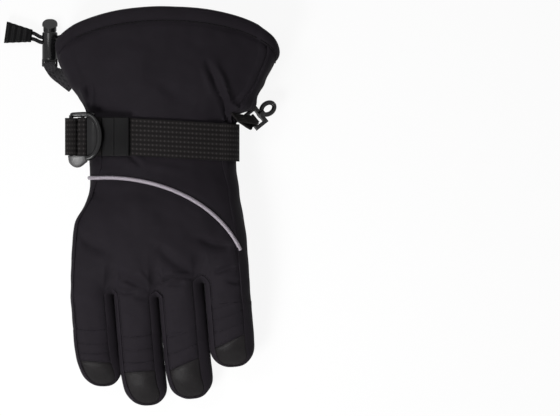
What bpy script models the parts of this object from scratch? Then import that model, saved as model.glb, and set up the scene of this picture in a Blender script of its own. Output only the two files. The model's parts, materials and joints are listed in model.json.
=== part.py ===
"""Left-hand gauntlet ski glove, lying palm down: fingers along -Y, cuff along +Y, thumb side at -X.

Sizes are in millimetres and become metres when a shape is made.
"""

import math
from collections import namedtuple

import bmesh
import bpy
from mathutils import Matrix, Vector

MM = 0.001

# Cloth, leather and the air between sewn pieces
SEAM_GAP = 0.6
FIT = 0.3
STALL_GAP = 0.9
LINING_GAP = 1.6
SHELL = 1.5
LINING = 3.0
STALL_LINING = 2.0

# Stations of the gauntlet and hand, from the hem to the knuckles. side is how far the edge
# bulges past the seam, rise the seam's height over the middle plane, crown and palm the
# heights of the back and of the palm over it.
Station = namedtuple("Station", "y width centre side rise crown palm")
HEM = Station(108.0, 150.0, 2.4, 13.0, 15.0, 25.0, 23.0)
FLARE = Station(84.0, 132.0, 2.7, 12.0, 14.5, 24.0, 22.0)
WRIST_TOP = Station(60.0, 98.6, -0.3, 9.0, 12.0, 20.0, 17.5)
WRIST = WRIST_TOP._replace(y=32.5)
PALM_TOP = Station(10.0, 100.6, 1.1, 4.8, 10.0, 19.5, 15.0)
PALM = Station(-11.0, 113.4, -1.9, 4.5, 9.2, 18.5, 14.0)
PALM_LOW = Station(-32.0, 117.4, -2.0, 4.4, 8.6, 17.0, 13.0)
KNUCKLE = Station(-57.0, 120.0, -1.8, 4.2, 8.3, 14.0, 12.0)
HEM_TOP = HEM._replace(y=HEM.y + 30.0)
STATIONS = (HEM_TOP, HEM, FLARE, WRIST_TOP, WRIST, PALM_TOP, PALM, PALM_LOW, KNUCKLE)

# Height of the middle plane over the table: the palm rests on the thumb, the tips on the table
Height = namedtuple("Height", "y z")
LAY = (
    Height(136.0, 27.4),
    Height(84.0, 25.2),
    Height(60.0, 22.5),
    Height(32.5, 22.5),
    Height(14.0, 27.2),
    Height(0.0, 31.4),
    Height(-14.0, 33.8),
    Height(-32.0, 34.6),
    Height(-57.0, 32.6),
    Height(-75.0, 27.0),
    Height(-100.0, 18.5),
    Height(-134.0, 10.5),
)

# Hem
HEM_CORNER = 107.5
HEM_BACK_RISE = 27.5
HEM_PALM_RISE = 22.0
HEM_BACK_FULL = 0.5
HEM_PALM_FULL = 1.0
CHANNEL_SLACK = 0.8
HEM_BAND = 10.0
HEM_CLOTH = 1.2
HEM_MOUTH = 1 / 6
CHANNEL = 6.4
CORD = 2.6

# Piping between the hand back and the gauntlet back, on an arc of an ellipse
PIPING = 2.7
PIPING_CENTRE = -38.0
PIPING_TOP = 20.3
PIPING_REACH = 95.0
PIPING_DROP = 70.7

# Shirred wrist
GATHER_TOP = 57.5
GATHER_LOW = 34.5
GATHERS = 11
GATHER_DEPTH = 1.2
ELASTIC = 1.0
ELASTIC_WIDTH = 12.0

# Fingers: seam is half the width of the back strip, bulge what the side strip adds
FINGER_SEAM = 10.0
FINGER_BULGE = 4.2
TIP_BULGE = 5.4
TIP_ROUND = 10.0
ROOT_RISE = 8.3
TIP_RISE = 5.6
ROOT_CROWN = 11.0
TIP_CROWN = 8.8
PALM_CROWN = 10.2
TIP_PALM_CROWN = 8.0
FLEX_HALF = 3.6
FLEX_DROP = 3.0
KNUCKLE_FADE = 28.0
SEAM_FADE = 40.0
FingerSize = namedtuple("FingerSize", "name root tip flex cap cap_slant")
FINGER_SIZES = (
    FingerSize("index", (-47.6, -58.0), (-43.0, -120.0), 26.5, 45.5, 3.0),
    FingerSize("middle", (-17.6, -58.0), (-12.2, -132.8), 31.0, 52.0, 0.0),
    FingerSize("ring", (12.1, -55.0), (18.2, -128.2), 32.0, 50.0, -7.0),
    FingerSize("little", (44.0, -49.0), (48.6, -106.6), 18.4, 40.5, -8.0),
)
CROTCHES = (-58.0, -60.0, -50.4)

# Thumb, lying under the palm
THUMB_ROOT = (-27.0, 14.0)
THUMB_TIP = (-12.8, -73.5)
THUMB_ROOT_SEAM = 20.0
THUMB_TIP_SEAM = 11.5
THUMB_PIVOT = (-30.0, 2.0)
THUMB_HOLE = 26.0
THUMB_INNER_START = 34.0
Girth = namedtuple("Girth", "t crown rise")
THUMB_GIRTHS = (
    Girth(90.0, 7.0, 4.6),
    Girth(62.0, 9.0, 5.8),
    Girth(40.0, 10.5, 6.8),
    Girth(16.0, 8.5, 5.6),
    Girth(0.0, 5.2, 3.6),
)

# Wrist strap and ladder-lock buckle
WEBBING = 25.0
WEBBING_THICK = 1.5
STRAP_CENTRE = 46.5
STRAP_SLOPE = -0.055
STRAP_LIFT = 0.4
STRAP_LEAVE = -0.62
BUCKLE_WIDTH = 35.0
BUCKLE_LENGTH = 21.3
BUCKLE_FROM_CONTACT = 36.0
RAIL = 4.2
RAIL_THICK = 4.2
BAR = 3.0
MIDDLE_BAR_AT = 7.9
MIDDLE_BAR = 2.4
TONGUE_AT = 12.0
TONGUE_THICK = 2.2
FRAME_LIFT = 4.3
TAB_LENGTH = 16.0
TAB_THICK = 2.2
LOOP_THICK = 1.2

# Drawcord toggle, lying beside the hem with its button along +Y
TOGGLE_X = -76.8
TOGGLE_Z = 5.8
TOGGLE_RADIUS = 5.2
TOGGLE_FLOOR = 100.0
TOGGLE_LENGTH = 19.0
TOGGLE_RIM = TOGGLE_FLOOR + TOGGLE_LENGTH
BUTTON_CLEAR = 0.6
BUTTON_DEEP = 5.4
BUTTON_RADIUS = 4.7
PLUNGER = 3.3
PLUNGER_WALL = 2.65
CORD_HOLE_UP = 13.4
CORD_HOLE_Y = TOGGLE_FLOOR + CORD_HOLE_UP
CORD_PITCH = 3.3
CORD_ROOM = 0.8
CORD_SLOT = CORD_PITCH + CORD + CORD_ROOM
PLUNGER_FOOT = CORD_HOLE_Y - CORD_SLOT / 2 - PLUNGER_WALL
PRESS = 3.0
BUTTON_HEAD = TOGGLE_RIM + PRESS + BUTTON_CLEAR
BUTTON_TOP = BUTTON_HEAD + BUTTON_DEEP
SPRING_RADIUS = 2.4
SPRING_WIRE = 0.6
SPRING_TURNS = 4.0
LUG = 5.0
TAPE = 7.0
TAPE_THICK = 1.2

# Cord end, a flared ribbed block
CORD_END_AT = (-89.0, 116.4, 5.2)
CORD_END_LENGTH = 18.0
CORD_END_NECK = 8.6
CORD_END_MOUTH = 15.0
CORD_END_THICK = 6.4
CORD_END_TURN = 8.0
CORD_END_RIBS = 4

# Pull loop on the palm side of the hem
LOOP_WIDTH = 21.5
LOOP_REACH = 6.6
LOOP_RISE = 13.0
LOOP_SEWN = 24.0
LOOP_LEATHER = 1.6

# Clip on the little-finger side
CLIP_AT = (60.0, 58.5, 20.0)
CLIP_TURN = 39.0
CLIP_DIP = 24.0
CLIP_EYE = 14.0
CLIP_EYE_LENGTH = 9.0
CLIP_WIRE = 2.6
CLIP_RING = 9.5
CLIP_RING_LENGTH = 13.0
CLIP_TAB = 8.0
CLIP_SWING_ROOM = 0.35
CLIP_LEAD = 3.2

MOVES = {}
CORD_PIECES = ("drawcord_strand_a", "drawcord_strand_b", "cord_end")


def clear_scene():
    for old in list(bpy.data.objects):
        bpy.data.objects.remove(old, do_unlink=True)
    for name in ("ski_glove", "glove_cutters"):
        collection = bpy.data.collections.new(name)
        bpy.context.scene.collection.children.link(collection)
    bpy.data.collections["glove_cutters"].hide_render = True


def finish(name, colour, roughness, metallic=0.0):
    material = bpy.data.materials.new(name)
    material.use_nodes = True
    shader = material.node_tree.nodes["Principled BSDF"]
    shader.inputs["Base Color"].default_value = (*colour, 1.0)
    shader.inputs["Roughness"].default_value = roughness
    shader.inputs["Metallic"].default_value = metallic
    return material


def place(obj, material, collection="ski_glove"):
    bpy.data.collections[collection].objects.link(obj)
    if material:
        own = material.copy()
        own.name = f"{obj.name}_{material.name}"
        obj.data.materials.append(own)
    return obj


def eased(rows, at):
    """All values of the rows at a place, on a smooth curve that never swings past its points."""
    if at >= rows[0][0]:
        return rows[0][1:]
    if at <= rows[-1][0]:
        return rows[-1][1:]
    i = next(k for k in range(len(rows) - 1) if rows[k + 1][0] <= at)
    first, second = rows[i], rows[i + 1]
    span = second[0] - first[0]
    t = (at - first[0]) / span
    values = []
    for k in range(1, len(first)):
        slope = (second[k] - first[k]) / span
        tangents = [slope, slope]
        for end, j in ((0, i - 1), (1, i + 2)):
            if 0 <= j < len(rows):
                near = first if end == 0 else second
                other = (near[k] - rows[j][k]) / (near[0] - rows[j][0])
                agree = other * slope > 0
                tangents[end] = 2 * other * slope / (other + slope) if agree else 0.0
        h1 = t * t * (3 - 2 * t)
        start = first[k] * (1 - h1) + second[k] * h1
        lean = span * (t * (1 - t) ** 2 * tangents[0] - t * t * (1 - t) * tangents[1])
        values.append(start + lean)
    return values


def smooth(t):
    t = min(max(t, 0.0), 1.0)
    return t * t * (3 - 2 * t)


def steps(first, last, count):
    return [first + (last - first) * k / count for k in range(count + 1)]


def lay(y):
    return eased(LAY, y)[0]


def hull_lid(y, s, face, out=0.0):
    """Height of the back (face 1) or palm (face -1) over the middle plane, s from -1 to 1."""
    _, _, _, rise, crown, palm = eased(STATIONS, y)
    top = crown if face > 0 else palm
    return face * (rise + out + (top - rise) * (1 - s * s))


def seam_half(y):
    width, _, side, _, _, _ = eased(STATIONS, y)
    return width / 2 - side


def hull(y, q, out=0.0, edge=0.0):
    """A point of the gauntlet: q runs 0 to 4 over back, little-finger side, palm, thumb side."""
    _, centre, side, rise, _, _ = eased(STATIONS, y)
    seam = seam_half(y)
    part = int(math.floor(q)) % 4
    f = q - math.floor(q)
    if part in (0, 2):
        face = 1 if part == 0 else -1
        s = face * (2 * f - 1)
        return Vector((centre + s * (seam - edge), y, lay(y) + hull_lid(y, s, face, out)))
    turn = math.pi * (0.5 - f)
    sign = 1 if part == 1 else -1
    reach = seam + edge + (side + out - edge) * math.cos(turn)
    height = sign * (rise + out) * math.sin(turn)
    return Vector((centre + sign * reach, y, lay(y) + height))


def hem_edge(q):
    """Where the hem's edge lies along Y at q."""
    point = hull(HEM_CORNER, q)
    across = (point.x - HEM.centre) / (HEM.width / 2)
    upper = point.z >= lay(HEM_CORNER)
    rise = HEM_BACK_RISE if upper else HEM_PALM_RISE
    full = HEM_BACK_FULL if upper else HEM_PALM_FULL
    return HEM_CORNER + rise * max(1 - across * across, 0.0) ** full


def piping_y(x):
    across = min(max((x - PIPING_CENTRE) / PIPING_REACH, -1.0), 1.0)
    return PIPING_TOP - PIPING_DROP * (1 - math.sqrt(1 - across * across))


def piping_cross(s, offset):
    """Where column s of the back meets a line beside the piping's arc."""
    y = PIPING_TOP
    for _ in range(40):
        x = eased(STATIONS, y)[1] + s * seam_half(y)
        slope = (piping_y(x + 0.1) - piping_y(x - 0.1)) / 0.2
        slant = min(math.sqrt(1 + slope * slope), 2.6)
        y = 0.5 * y + 0.5 * (piping_y(x) + offset * slant)
    return y


class Stall:
    """A finger or the thumb as a back strip, a palm strip and a side strip round its tip."""

    def __init__(self, root, tip, seam, tip_seam, base_round=0.0):
        self.root = Vector(root)
        self.axis = Vector(tip) - self.root
        self.length = self.axis.length
        self.axis.normalize()
        self.side = Vector((-self.axis.y, self.axis.x))
        self.seam, self.tip_seam, self.base_round = seam, tip_seam, base_round
        self.end = self.length - TIP_BULGE

    def plan(self, t, s):
        return self.root + self.axis * t + self.side * s

    def rounding(self, t):
        near = (t - (self.end - TIP_ROUND)) / TIP_ROUND
        if self.base_round:
            near = max(near, (self.base_round - t) / self.base_round)
        return min(max(near, 0.0), 1.0)

    def half(self, t):
        width = self.seam + (self.tip_seam - self.seam) * min(max(t / self.end, 0), 1)
        return width * (1 - self.rounding(t) ** 2.6) ** (1 / 2.6)

    def rise(self, t):
        return ROOT_RISE + (TIP_RISE - ROOT_RISE) * t / self.length

    def crown(self, t, face):
        root, tip = (ROOT_CROWN, TIP_CROWN) if face > 0 else (PALM_CROWN, TIP_PALM_CROWN)
        return root + (tip - root) * t / self.length

    def middle(self, plan, t):
        return lay(plan.y)

    def height(self, t, s, face):
        swell = (1 - s * s) * (1 - self.rounding(t) ** 2)
        return self.rise(t) + (self.crown(t, face) - self.rise(t)) * swell

    def lid(self, t, s, face, out=0.0):
        plan = self.plan(t, s * (self.half(t) - SEAM_GAP / 2))
        level = self.middle(plan, t) + face * (self.height(t, s, face) + out)
        return Vector((plan.x, plan.y, level))

    def wall(self, t, sign, turn, out=0.0):
        step = 0.05
        lean = (self.half(t + step) - self.half(t - step)) / (2 * step)
        normal = (self.side * sign - self.axis * lean).normalized()
        along = abs(normal.dot(self.axis))
        bulge = FINGER_BULGE + (TIP_BULGE - FINGER_BULGE) * along + out
        edge = SEAM_GAP / 2
        reach = edge + (bulge - edge) * math.cos(turn)
        plan = self.plan(t, sign * self.half(t)) + normal * reach
        level = self.middle(plan, t) + (self.rise(t) + out) * math.sin(turn)
        return Vector((plan.x, plan.y, level))

    def ring(self, t, out=0.0, scale=1.0, lid_steps=3, wall_steps=4):
        """A closed section: back, little-finger side, palm, thumb side."""
        points = [self.lid(t, s, 1, out) for s in steps(-1, 1, lid_steps)[:-1]]
        turns = steps(math.pi / 2, -math.pi / 2, wall_steps)
        points += [self.wall(t, 1, turn, out) for turn in turns[:-1]]
        points += [self.lid(t, s, -1, out) for s in steps(1, -1, lid_steps)[:-1]]
        points += [self.wall(t, -1, -turn, out) for turn in turns]
        points[-1] = points[0].copy()
        plan = self.plan(t, 0)
        middle = Vector((plan.x, plan.y, self.middle(plan, t)))
        return [middle + (point - middle) * scale for point in points]

    def tip_path(self, start):
        """(t, sign) along the side seam: out along +side, round the tip, back along -side."""
        ends = [self.end - TIP_ROUND * (1 - u) for u in (0.0, 0.45, 0.74, 0.9, 0.975)]
        run = steps(start, ends[0], 2)[:-1] + ends
        return [(t, 1) for t in run] + [(t, -1) for t in reversed(run)]


class Finger(Stall):
    def __init__(self, size):
        super().__init__(size.root, size.tip, FINGER_SEAM, FINGER_SEAM)
        self.name, self.flex, self.cap, self.cap_slant = size.name, size.flex, size.cap, size.cap_slant
        self.left_root = self.right_root = 0.0

    def at_y(self, y, s):
        return (y - self.root.y - self.side.y * s) / self.axis.y

    def root_at(self, s):
        return self.left_root + (self.right_root - self.left_root) * (s + 1) / 2

    def cap_at(self, s):
        return self.cap + self.cap_slant * s / 2

    def pivot(self):
        plan = self.plan(self.flex, 0)
        return Vector((plan.x, plan.y, lay(plan.y) - FLEX_DROP))


class Thumb(Stall):
    def rise(self, t):
        return eased(THUMB_GIRTHS, t)[1]

    def crown(self, t, face):
        return eased(THUMB_GIRTHS, t)[0]

    def middle(self, plan, t):
        return eased(THUMB_GIRTHS, t)[0]


FINGERS = [Finger(size) for size in FINGER_SIZES]
THUMB = Thumb(THUMB_ROOT, THUMB_TIP, THUMB_ROOT_SEAM, THUMB_TIP_SEAM, TIP_ROUND)
for number, level in enumerate(CROTCHES):
    FINGERS[number].right_root = FINGERS[number].at_y(level, FINGER_SEAM)
    FINGERS[number + 1].left_root = FINGERS[number + 1].at_y(level, -FINGER_SEAM)
FINGERS[0].left_root = FINGERS[0].right_root
FINGERS[-1].right_root = FINGERS[-1].left_root


def crotch(number, turn, edge):
    """A point of the seam round the bottom of a finger gap, and the way into the gap."""
    left, right = FINGERS[number], FINGERS[number + 1]
    start = left.plan(left.right_root, FINGER_SEAM)
    end = right.plan(right.left_root, -FINGER_SEAM)
    centre = (start + end) / 2
    across = (end - start) / 2
    up = Vector((-across.y, across.x))
    spoke = -across * math.cos(turn) + up * math.sin(turn)
    return centre + spoke * (1 + edge / across.length), -spoke.normalized(), across.length


def sheet(name, blocks, thick, material, flip=False, seal=False, offset=-1.0,
          collection="ski_glove"):
    """A closed panel: grids of points, welded where they meet and given their thickness."""
    mesh = bpy.data.meshes.new(name)
    bm = bmesh.new()
    for rows in blocks:
        across, along = len(rows[0]) - 1, len(rows) - 1
        grid = bmesh.ops.create_grid(bm, x_segments=across, y_segments=along, size=1.0)
        for vert in grid["verts"]:
            column = round((vert.co.x + 1) / 2 * across)
            row = round((vert.co.y + 1) / 2 * along)
            vert.co = rows[row][column] * MM
    bmesh.ops.remove_doubles(bm, verts=bm.verts, dist=0.02 * MM)
    if seal:
        last = [Vector(point) * MM for point in blocks[-1][-1]]
        ends = [v for v in bm.verts if min((v.co - p).length for p in last) < 0.01 * MM]
        rim = [e for e in bm.edges if e.is_boundary and all(v in ends for v in e.verts)]
        bmesh.ops.contextual_create(bm, geom=rim)
    if flip:
        bmesh.ops.reverse_faces(bm, faces=bm.faces)
    bm.to_mesh(mesh)
    bm.free()
    obj = place(bpy.data.objects.new(name, mesh), material, collection)
    wall = obj.modifiers.new("thickness", "SOLIDIFY")
    wall.thickness = thick * MM
    wall.offset = offset
    wall.use_even_offset = True
    return obj


def tube(name, points, radius, material, resolution=2, closed=False):
    curve = bpy.data.curves.new(name, "CURVE")
    curve.dimensions = "3D"
    spline = curve.splines.new("POLY")
    spline.points.add(len(points) - 1)
    for point, place_at in zip(spline.points, points):
        point.co = (*(Vector(place_at) * MM), 1.0)
    spline.use_cyclic_u = closed
    curve.bevel_depth = radius * MM
    curve.bevel_resolution = resolution
    curve.use_fill_caps = not closed
    return place(bpy.data.objects.new(name, curve), material)


def solid(name, shapes, material, collection="ski_glove"):
    """A solid from a list of (maker, matrix, settings), each a closed primitive shape."""
    mesh = bpy.data.meshes.new(name)
    bm = bmesh.new()
    for maker, matrix, settings in shapes:
        maker(bm, matrix=matrix, **settings)
    bmesh.ops.scale(bm, vec=(MM, MM, MM), verts=bm.verts)
    bm.to_mesh(mesh)
    bm.free()
    obj = place(bpy.data.objects.new(name, mesh), material, collection)
    if collection == "glove_cutters":
        obj.display_type = "WIRE"
        obj.hide_render = True
    return obj


def box(frame, low, high):
    low, high = Vector(low), Vector(high)
    middle, size = (low + high) / 2, high - low
    matrix = frame @ Matrix.Translation(middle) @ Matrix.Diagonal((*size, 1.0))
    return (bmesh.ops.create_cube, matrix, {"size": 1.0})


def rod(frame, centre, along, radius, length, sides=16, end_radius=None):
    turn = Vector(along).to_track_quat("Z", "Y").to_matrix().to_4x4()
    far = radius if end_radius is None else end_radius
    settings = dict(cap_ends=True, segments=sides, radius1=radius, radius2=far, depth=length)
    return (bmesh.ops.create_cone, frame @ Matrix.Translation(centre) @ turn, settings)


def shape_by(obj, other, operation):
    change = obj.modifiers.new(operation.lower(), "BOOLEAN")
    change.operation = operation
    change.solver = "EXACT"
    change.object = other


def joined(obj, name, shapes):
    shape_by(obj, solid(name, shapes, None, "glove_cutters"), "UNION")


def cut(obj, name, shapes):
    shape_by(obj, solid(name, shapes, None, "glove_cutters"), "DIFFERENCE")


def rounded(obj, width, segments=1):
    bevel = obj.modifiers.new("rounding", "BEVEL")
    bevel.width = width * MM
    bevel.segments = segments
    bevel.limit_method = "ANGLE"
    bevel.angle_limit = math.radians(40)


def local_frame(origin, along, up):
    """A frame whose X runs along, whose Z is as near up as it can be."""
    x = Vector(along).normalized()
    y = Vector(up).cross(x).normalized()
    z = x.cross(y)
    turn = Matrix((x, y, z)).transposed().to_4x4()
    return Matrix.Translation(origin) @ turn


SOFTSHELL = finish("softshell", (0.018, 0.016, 0.019), 0.85)
LEATHER = finish("leather", (0.026, 0.023, 0.024), 0.5)
FLEECE = finish("fleece", (0.03, 0.03, 0.032), 0.95)
GREY = finish("grey_piping", (0.35, 0.31, 0.35), 0.45)
WEB = finish("webbing", (0.026, 0.023, 0.021), 0.8)
PLASTIC = finish("black_plastic", (0.012, 0.012, 0.013), 0.25)
BRAID = finish("braided_cord", (0.015, 0.015, 0.016), 0.8)
STEEL = finish("spring_steel", (0.5, 0.5, 0.5), 0.3, 1.0)

LID_STEPS = 4
SIDE_STEPS = 6
EDGE = SEAM_GAP / 2
PROUD = SHELL + LINING_GAP
STALL_PROUD = SHELL + STALL_GAP
WALL_TURNS = [math.radians(angle) for angle in (90, 74, 28, -28, -74, -90)]


def root_columns(face):
    """The row where the hand meets the fingers: place in plan and height of each column."""
    columns = []
    for number, finger in enumerate(FINGERS):
        for s in steps(-1, 1, LID_STEPS):
            point = finger.lid(finger.root_at(s), s, face)
            columns.append((point, abs(point.z - lay(point.y))))
        if number < len(CROTCHES):
            for turn in (45, 90, 135):
                plan, _, _ = crotch(number, math.radians(turn), EDGE)
                height = FINGERS[number].rise(FINGERS[number].right_root)
                point = Vector((plan.x, plan.y, lay(plan.y) + face * height))
                columns.append((point, height))
    return columns


def hand_lid(name, face, top, material):
    """The back or palm of the hand with the roots of the four fingers."""
    columns = root_columns(face)
    places = []
    for point, _ in columns:
        centre = eased(STATIONS, point.y)[1]
        places.append((point.x - centre) / seam_half(point.y))
    spread = places[-1] - places[0]
    rows = []
    for v in steps(0, 1, 8):
        row = []
        for (point, height), place_s in zip(columns, places):
            even = 2 * (place_s - places[0]) / spread - 1
            high = top(even)
            y = point.y + (high - point.y) * v
            limit = 1 - (EDGE if face > 0 else EDGE + FIT) / seam_half(y)
            s = place_s + (even * limit - place_s) * smooth((y - point.y) / SEAM_FADE)
            x = eased(STATIONS, y)[1] + s * seam_half(y)
            fade = smooth((y - point.y) / KNUCKLE_FADE)
            rise = height * (1 - fade) + abs(hull_lid(y, s, face)) * fade
            row.append(Vector((x, y, lay(y) + face * rise)))
        rows.append(row)
    for column, (point, _) in enumerate(columns):
        rows[0][column] = point
    blocks = [rows]
    for finger in FINGERS:
        end = finger.flex - FLEX_HALF
        strip = []
        for v in steps(1, 0, 3):
            line = []
            for s in steps(-1, 1, LID_STEPS):
                start = finger.root_at(s)
                line.append(finger.lid(start + (end - start) * v, s, face))
            strip.append(line)
        blocks.append(strip)
    return sheet(name, blocks, SHELL, material, flip=face < 0)


def hull_sheet(name, places, low, high, count, out, thick, material):
    rows = []
    for v in steps(0, 1, count):
        row = []
        for q in places:
            start, end = low(q), high(q)
            off = out(q, v) if callable(out) else out
            row.append(hull(start + (end - start) * v, q, off, EDGE if thick == SHELL else 0.0))
        rows.append(row)
    return sheet(name, [rows], thick, material)


def build_shell():
    half_pipe = PIPING / 2 + SEAM_GAP
    back = hand_lid("hand_back", 1, lambda s: piping_cross(s, -half_pipe), SOFTSHELL)
    palm = hand_lid("palm_leather", -1, lambda s: GATHER_LOW - SEAM_GAP, LEATHER)

    def edge_of_cloth(q):
        return hem_edge(q) - CHANNEL

    gauntlet = hull_sheet(
        "cuff_back",
        [min((s + 1) / 2, 0.9999) for s in (-1, -0.75, -0.5, -0.25, 0, 0.22, 0.42, 0.6, 0.75, 0.88, 1)],
        lambda q: piping_cross(2 * q - 1, half_pipe),
        edge_of_cloth,
        15,
        0.0,
        SHELL,
        SOFTSHELL,
    )
    path = []
    for s in steps(-0.985, 0.975, 22):
        y = piping_cross(s, 0.0)
        x = eased(STATIONS, y)[1] + s * seam_half(y)
        path.append((x, y, lay(y) + hull_lid(y, s, 1) - 0.3))
    piping = tube("piping", path, PIPING / 2, GREY, resolution=1)

    above_gather = GATHER_TOP + SEAM_GAP
    seam = 0.5 * SEAM_GAP / HEM.width
    little_half = steps(1.0 + seam, 2.0, SIDE_STEPS)[:-1] + steps(2.0, 2.5 - seam, 4)
    thumb_half = steps(2.5 + seam, 3.0, 4)[:-1] + steps(3.0, 4.0 - seam, SIDE_STEPS)
    for side, places in (("little", little_half), ("thumb", thumb_half)):
        hull_sheet(
            f"cuff_palm_{side}",
            places,
            lambda q: above_gather,
            edge_of_cloth,
            7,
            0.0,
            SHELL,
            SOFTSHELL,
        )

    folds = steps(1.0, 3.9999, 4 * GATHERS)

    def ruffle(q, v):
        wave = 0.5 - 0.5 * math.cos(2 * math.pi * GATHERS * (q - 1) / 3)
        inside = smooth((q - 1) * 3) * smooth((4 - q) * 3)
        return (ELASTIC + FIT + GATHER_DEPTH * wave * math.sin(math.pi * v)) * inside

    gather = hull_sheet(
        "wrist_gather",
        folds,
        lambda q: GATHER_LOW,
        lambda q: GATHER_TOP,
        3,
        ruffle,
        SHELL,
        SOFTSHELL,
    )
    middle = (GATHER_TOP + GATHER_LOW) / 2
    hull_sheet(
        "wrist_elastic",
        steps(1.35, 3.65, 14),
        lambda q: middle - ELASTIC_WIDTH / 2,
        lambda q: middle + ELASTIC_WIDTH / 2,
        1,
        ELASTIC + FIT - SHELL - FIT,
        ELASTIC,
        WEB,
    )
    lining = hull_sheet(
        "hand_lining",
        steps(0.0, 4.0, 4 * SIDE_STEPS),
        lambda q: CROTCHES[-1] + KNUCKLE_FADE + 5.0,
        edge_of_cloth,
        14,
        -PROUD,
        LINING,
        FLEECE,
    )
    hole = Vector((THUMB_PIVOT[0], THUMB_PIVOT[1] - 4.0, lay(THUMB_PIVOT[1]) - PALM_TOP.palm))
    drill = rod(Matrix.Identity(4), hole, (0, 0, 1), THUMB_HOLE / 2, 2 * PALM_TOP.palm - 6, 20)
    cutter = solid("thumb_hole", [drill], None, "glove_cutters")
    shape_by(palm, cutter, "DIFFERENCE")
    shape_by(lining, cutter, "DIFFERENCE")
    return back, palm, gauntlet, piping, gather


def build_sides():
    """Side gussets along the hand's edges and fourchettes between the fingers."""
    turns = WALL_TURNS
    top = GATHER_LOW - SEAM_GAP
    for side, finger, sign in (("thumb", FINGERS[0], -1), ("little", FINGERS[-1], 1)):
        root = finger.left_root if sign < 0 else finger.right_root
        rows = []
        for t in steps(finger.flex - FLEX_HALF, root, 2):
            rows.append([finger.wall(t, sign, turn) for turn in turns])
        start = rows[-1][0].y
        places = [0.5 - turn / math.pi for turn in turns]
        places = [1 + f if sign > 0 else min(4 - f, 3.9999) for f in places]
        jog = rows[-1][0].x - hull(start, places[0], 0.0, EDGE).x
        for y in steps(start, top, 8)[1:]:
            aside = Vector((jog * (1 - smooth((y - start) / SEAM_FADE)), 0, 0))
            rows.append([hull(y, q, 0.0, EDGE) + aside for q in places])
        sheet(f"gusset_{side}", [rows], SHELL, SOFTSHELL, flip=sign < 0)
    for number in range(len(CROTCHES)):
        left, right = FINGERS[number], FINGERS[number + 1]
        columns = []
        for t in steps(left.flex - FLEX_HALF, left.right_root, 2)[:-1]:
            columns.append([left.wall(t, 1, turn) for turn in turns])
        for angle in steps(0, math.pi, 4):
            plan, inward, radius = crotch(number, angle, -EDGE)
            bulge = FINGER_BULGE - 0.35 * FINGER_BULGE * math.sin(angle)
            column = []
            for turn in turns:
                spot = plan + inward * (bulge - EDGE) * math.cos(turn)
                rise = left.rise(left.right_root)
                column.append(Vector((spot.x, spot.y, lay(spot.y) + rise * math.sin(turn))))
            columns.append(column)
        for t in steps(right.left_root, right.flex - FLEX_HALF, 2)[1:]:
            columns.append([right.wall(t, -1, turn) for turn in turns])
        name = f"fourchette_{left.name}_{right.name}"
        sheet(name, [columns], SHELL, SOFTSHELL, flip=False)


def build_finger(finger):
    name = finger.name
    end = finger.end - TIP_ROUND * 0.025
    turns = WALL_TURNS
    flexes = steps(finger.flex - FLEX_HALF + SEAM_GAP, finger.flex + FLEX_HALF - SEAM_GAP, 4)
    swells = (0.0, 0.6, 0.1, 0.6, 0.0)
    rings = [finger.ring(t, out) for t, out in zip(flexes, swells)]
    sheet(f"{name}_flex_panel", [rings], SHELL, SOFTSHELL, flip=True)
    start = finger.flex + FLEX_HALF
    across = steps(-1, 1, LID_STEPS)
    back = []
    for v in steps(1, 0, 3):
        line = []
        for s in across:
            stop = finger.cap_at(s) - SEAM_GAP / 2
            line.append(finger.lid(start + (stop - start) * v, s, 1))
        back.append(line)
    sheet(f"{name}_tip_back", [back], SHELL, SOFTSHELL)
    rounds = [finger.end - TIP_ROUND * (1 - u) for u in (0.975, 0.9, 0.74, 0.45)]
    cap = [[finger.lid(t, s, 1) for s in across] for t in rounds]
    for v in steps(0, 1, 1):
        line = []
        for s in across:
            stop = finger.cap_at(s) + SEAM_GAP / 2
            last = rounds[-1] + (stop - rounds[-1]) * (0.5 + 0.5 * v)
            line.append(finger.lid(last, s, 1))
        cap.append(line)
    sheet(f"{name}_tip_cap", [cap], SHELL, LEATHER)
    palm = [[finger.lid(t, s, -1) for s in across] for t in rounds]
    for t in steps(rounds[-1], start, 3)[1:]:
        palm.append([finger.lid(t, s, -1) for s in across])
    sheet(f"{name}_tip_palm", [palm], SHELL, LEATHER, flip=True)
    path = finger.tip_path(start)
    wall = [[finger.wall(t, sign, turn) for turn in turns] for t, sign in path]
    sheet(f"{name}_tip_side", [wall], SHELL, SOFTSHELL, flip=True)
    inner_end = finger.end - 2.0
    lining = [finger.ring(t, -STALL_PROUD, 1.0, 2, 3) for t in steps(3.0, finger.end - TIP_ROUND, 4)]
    for u, scale in ((0.35, 0.93), (0.65, 0.8), (0.85, 0.62)):
        t = finger.end - TIP_ROUND + (inner_end - finger.end + TIP_ROUND) * u
        flat = finger.ring(finger.end - TIP_ROUND, -STALL_PROUD, scale, 2, 3)
        shift = finger.plan(t, 0) - finger.plan(finger.end - TIP_ROUND, 0)
        drop = lay(finger.plan(t, 0).y) - lay(finger.plan(finger.end - TIP_ROUND, 0).y)
        lining.append([point + Vector((shift.x, shift.y, drop)) for point in flat])
    sheet(f"{name}_lining", [lining], STALL_LINING, FLEECE, flip=True, seal=True)
    MOVES[f"{name}_flex"] = (
        finger.pivot(),
        [f"{name}_tip_back", f"{name}_tip_cap", f"{name}_tip_palm", f"{name}_tip_side"],
    )


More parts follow.
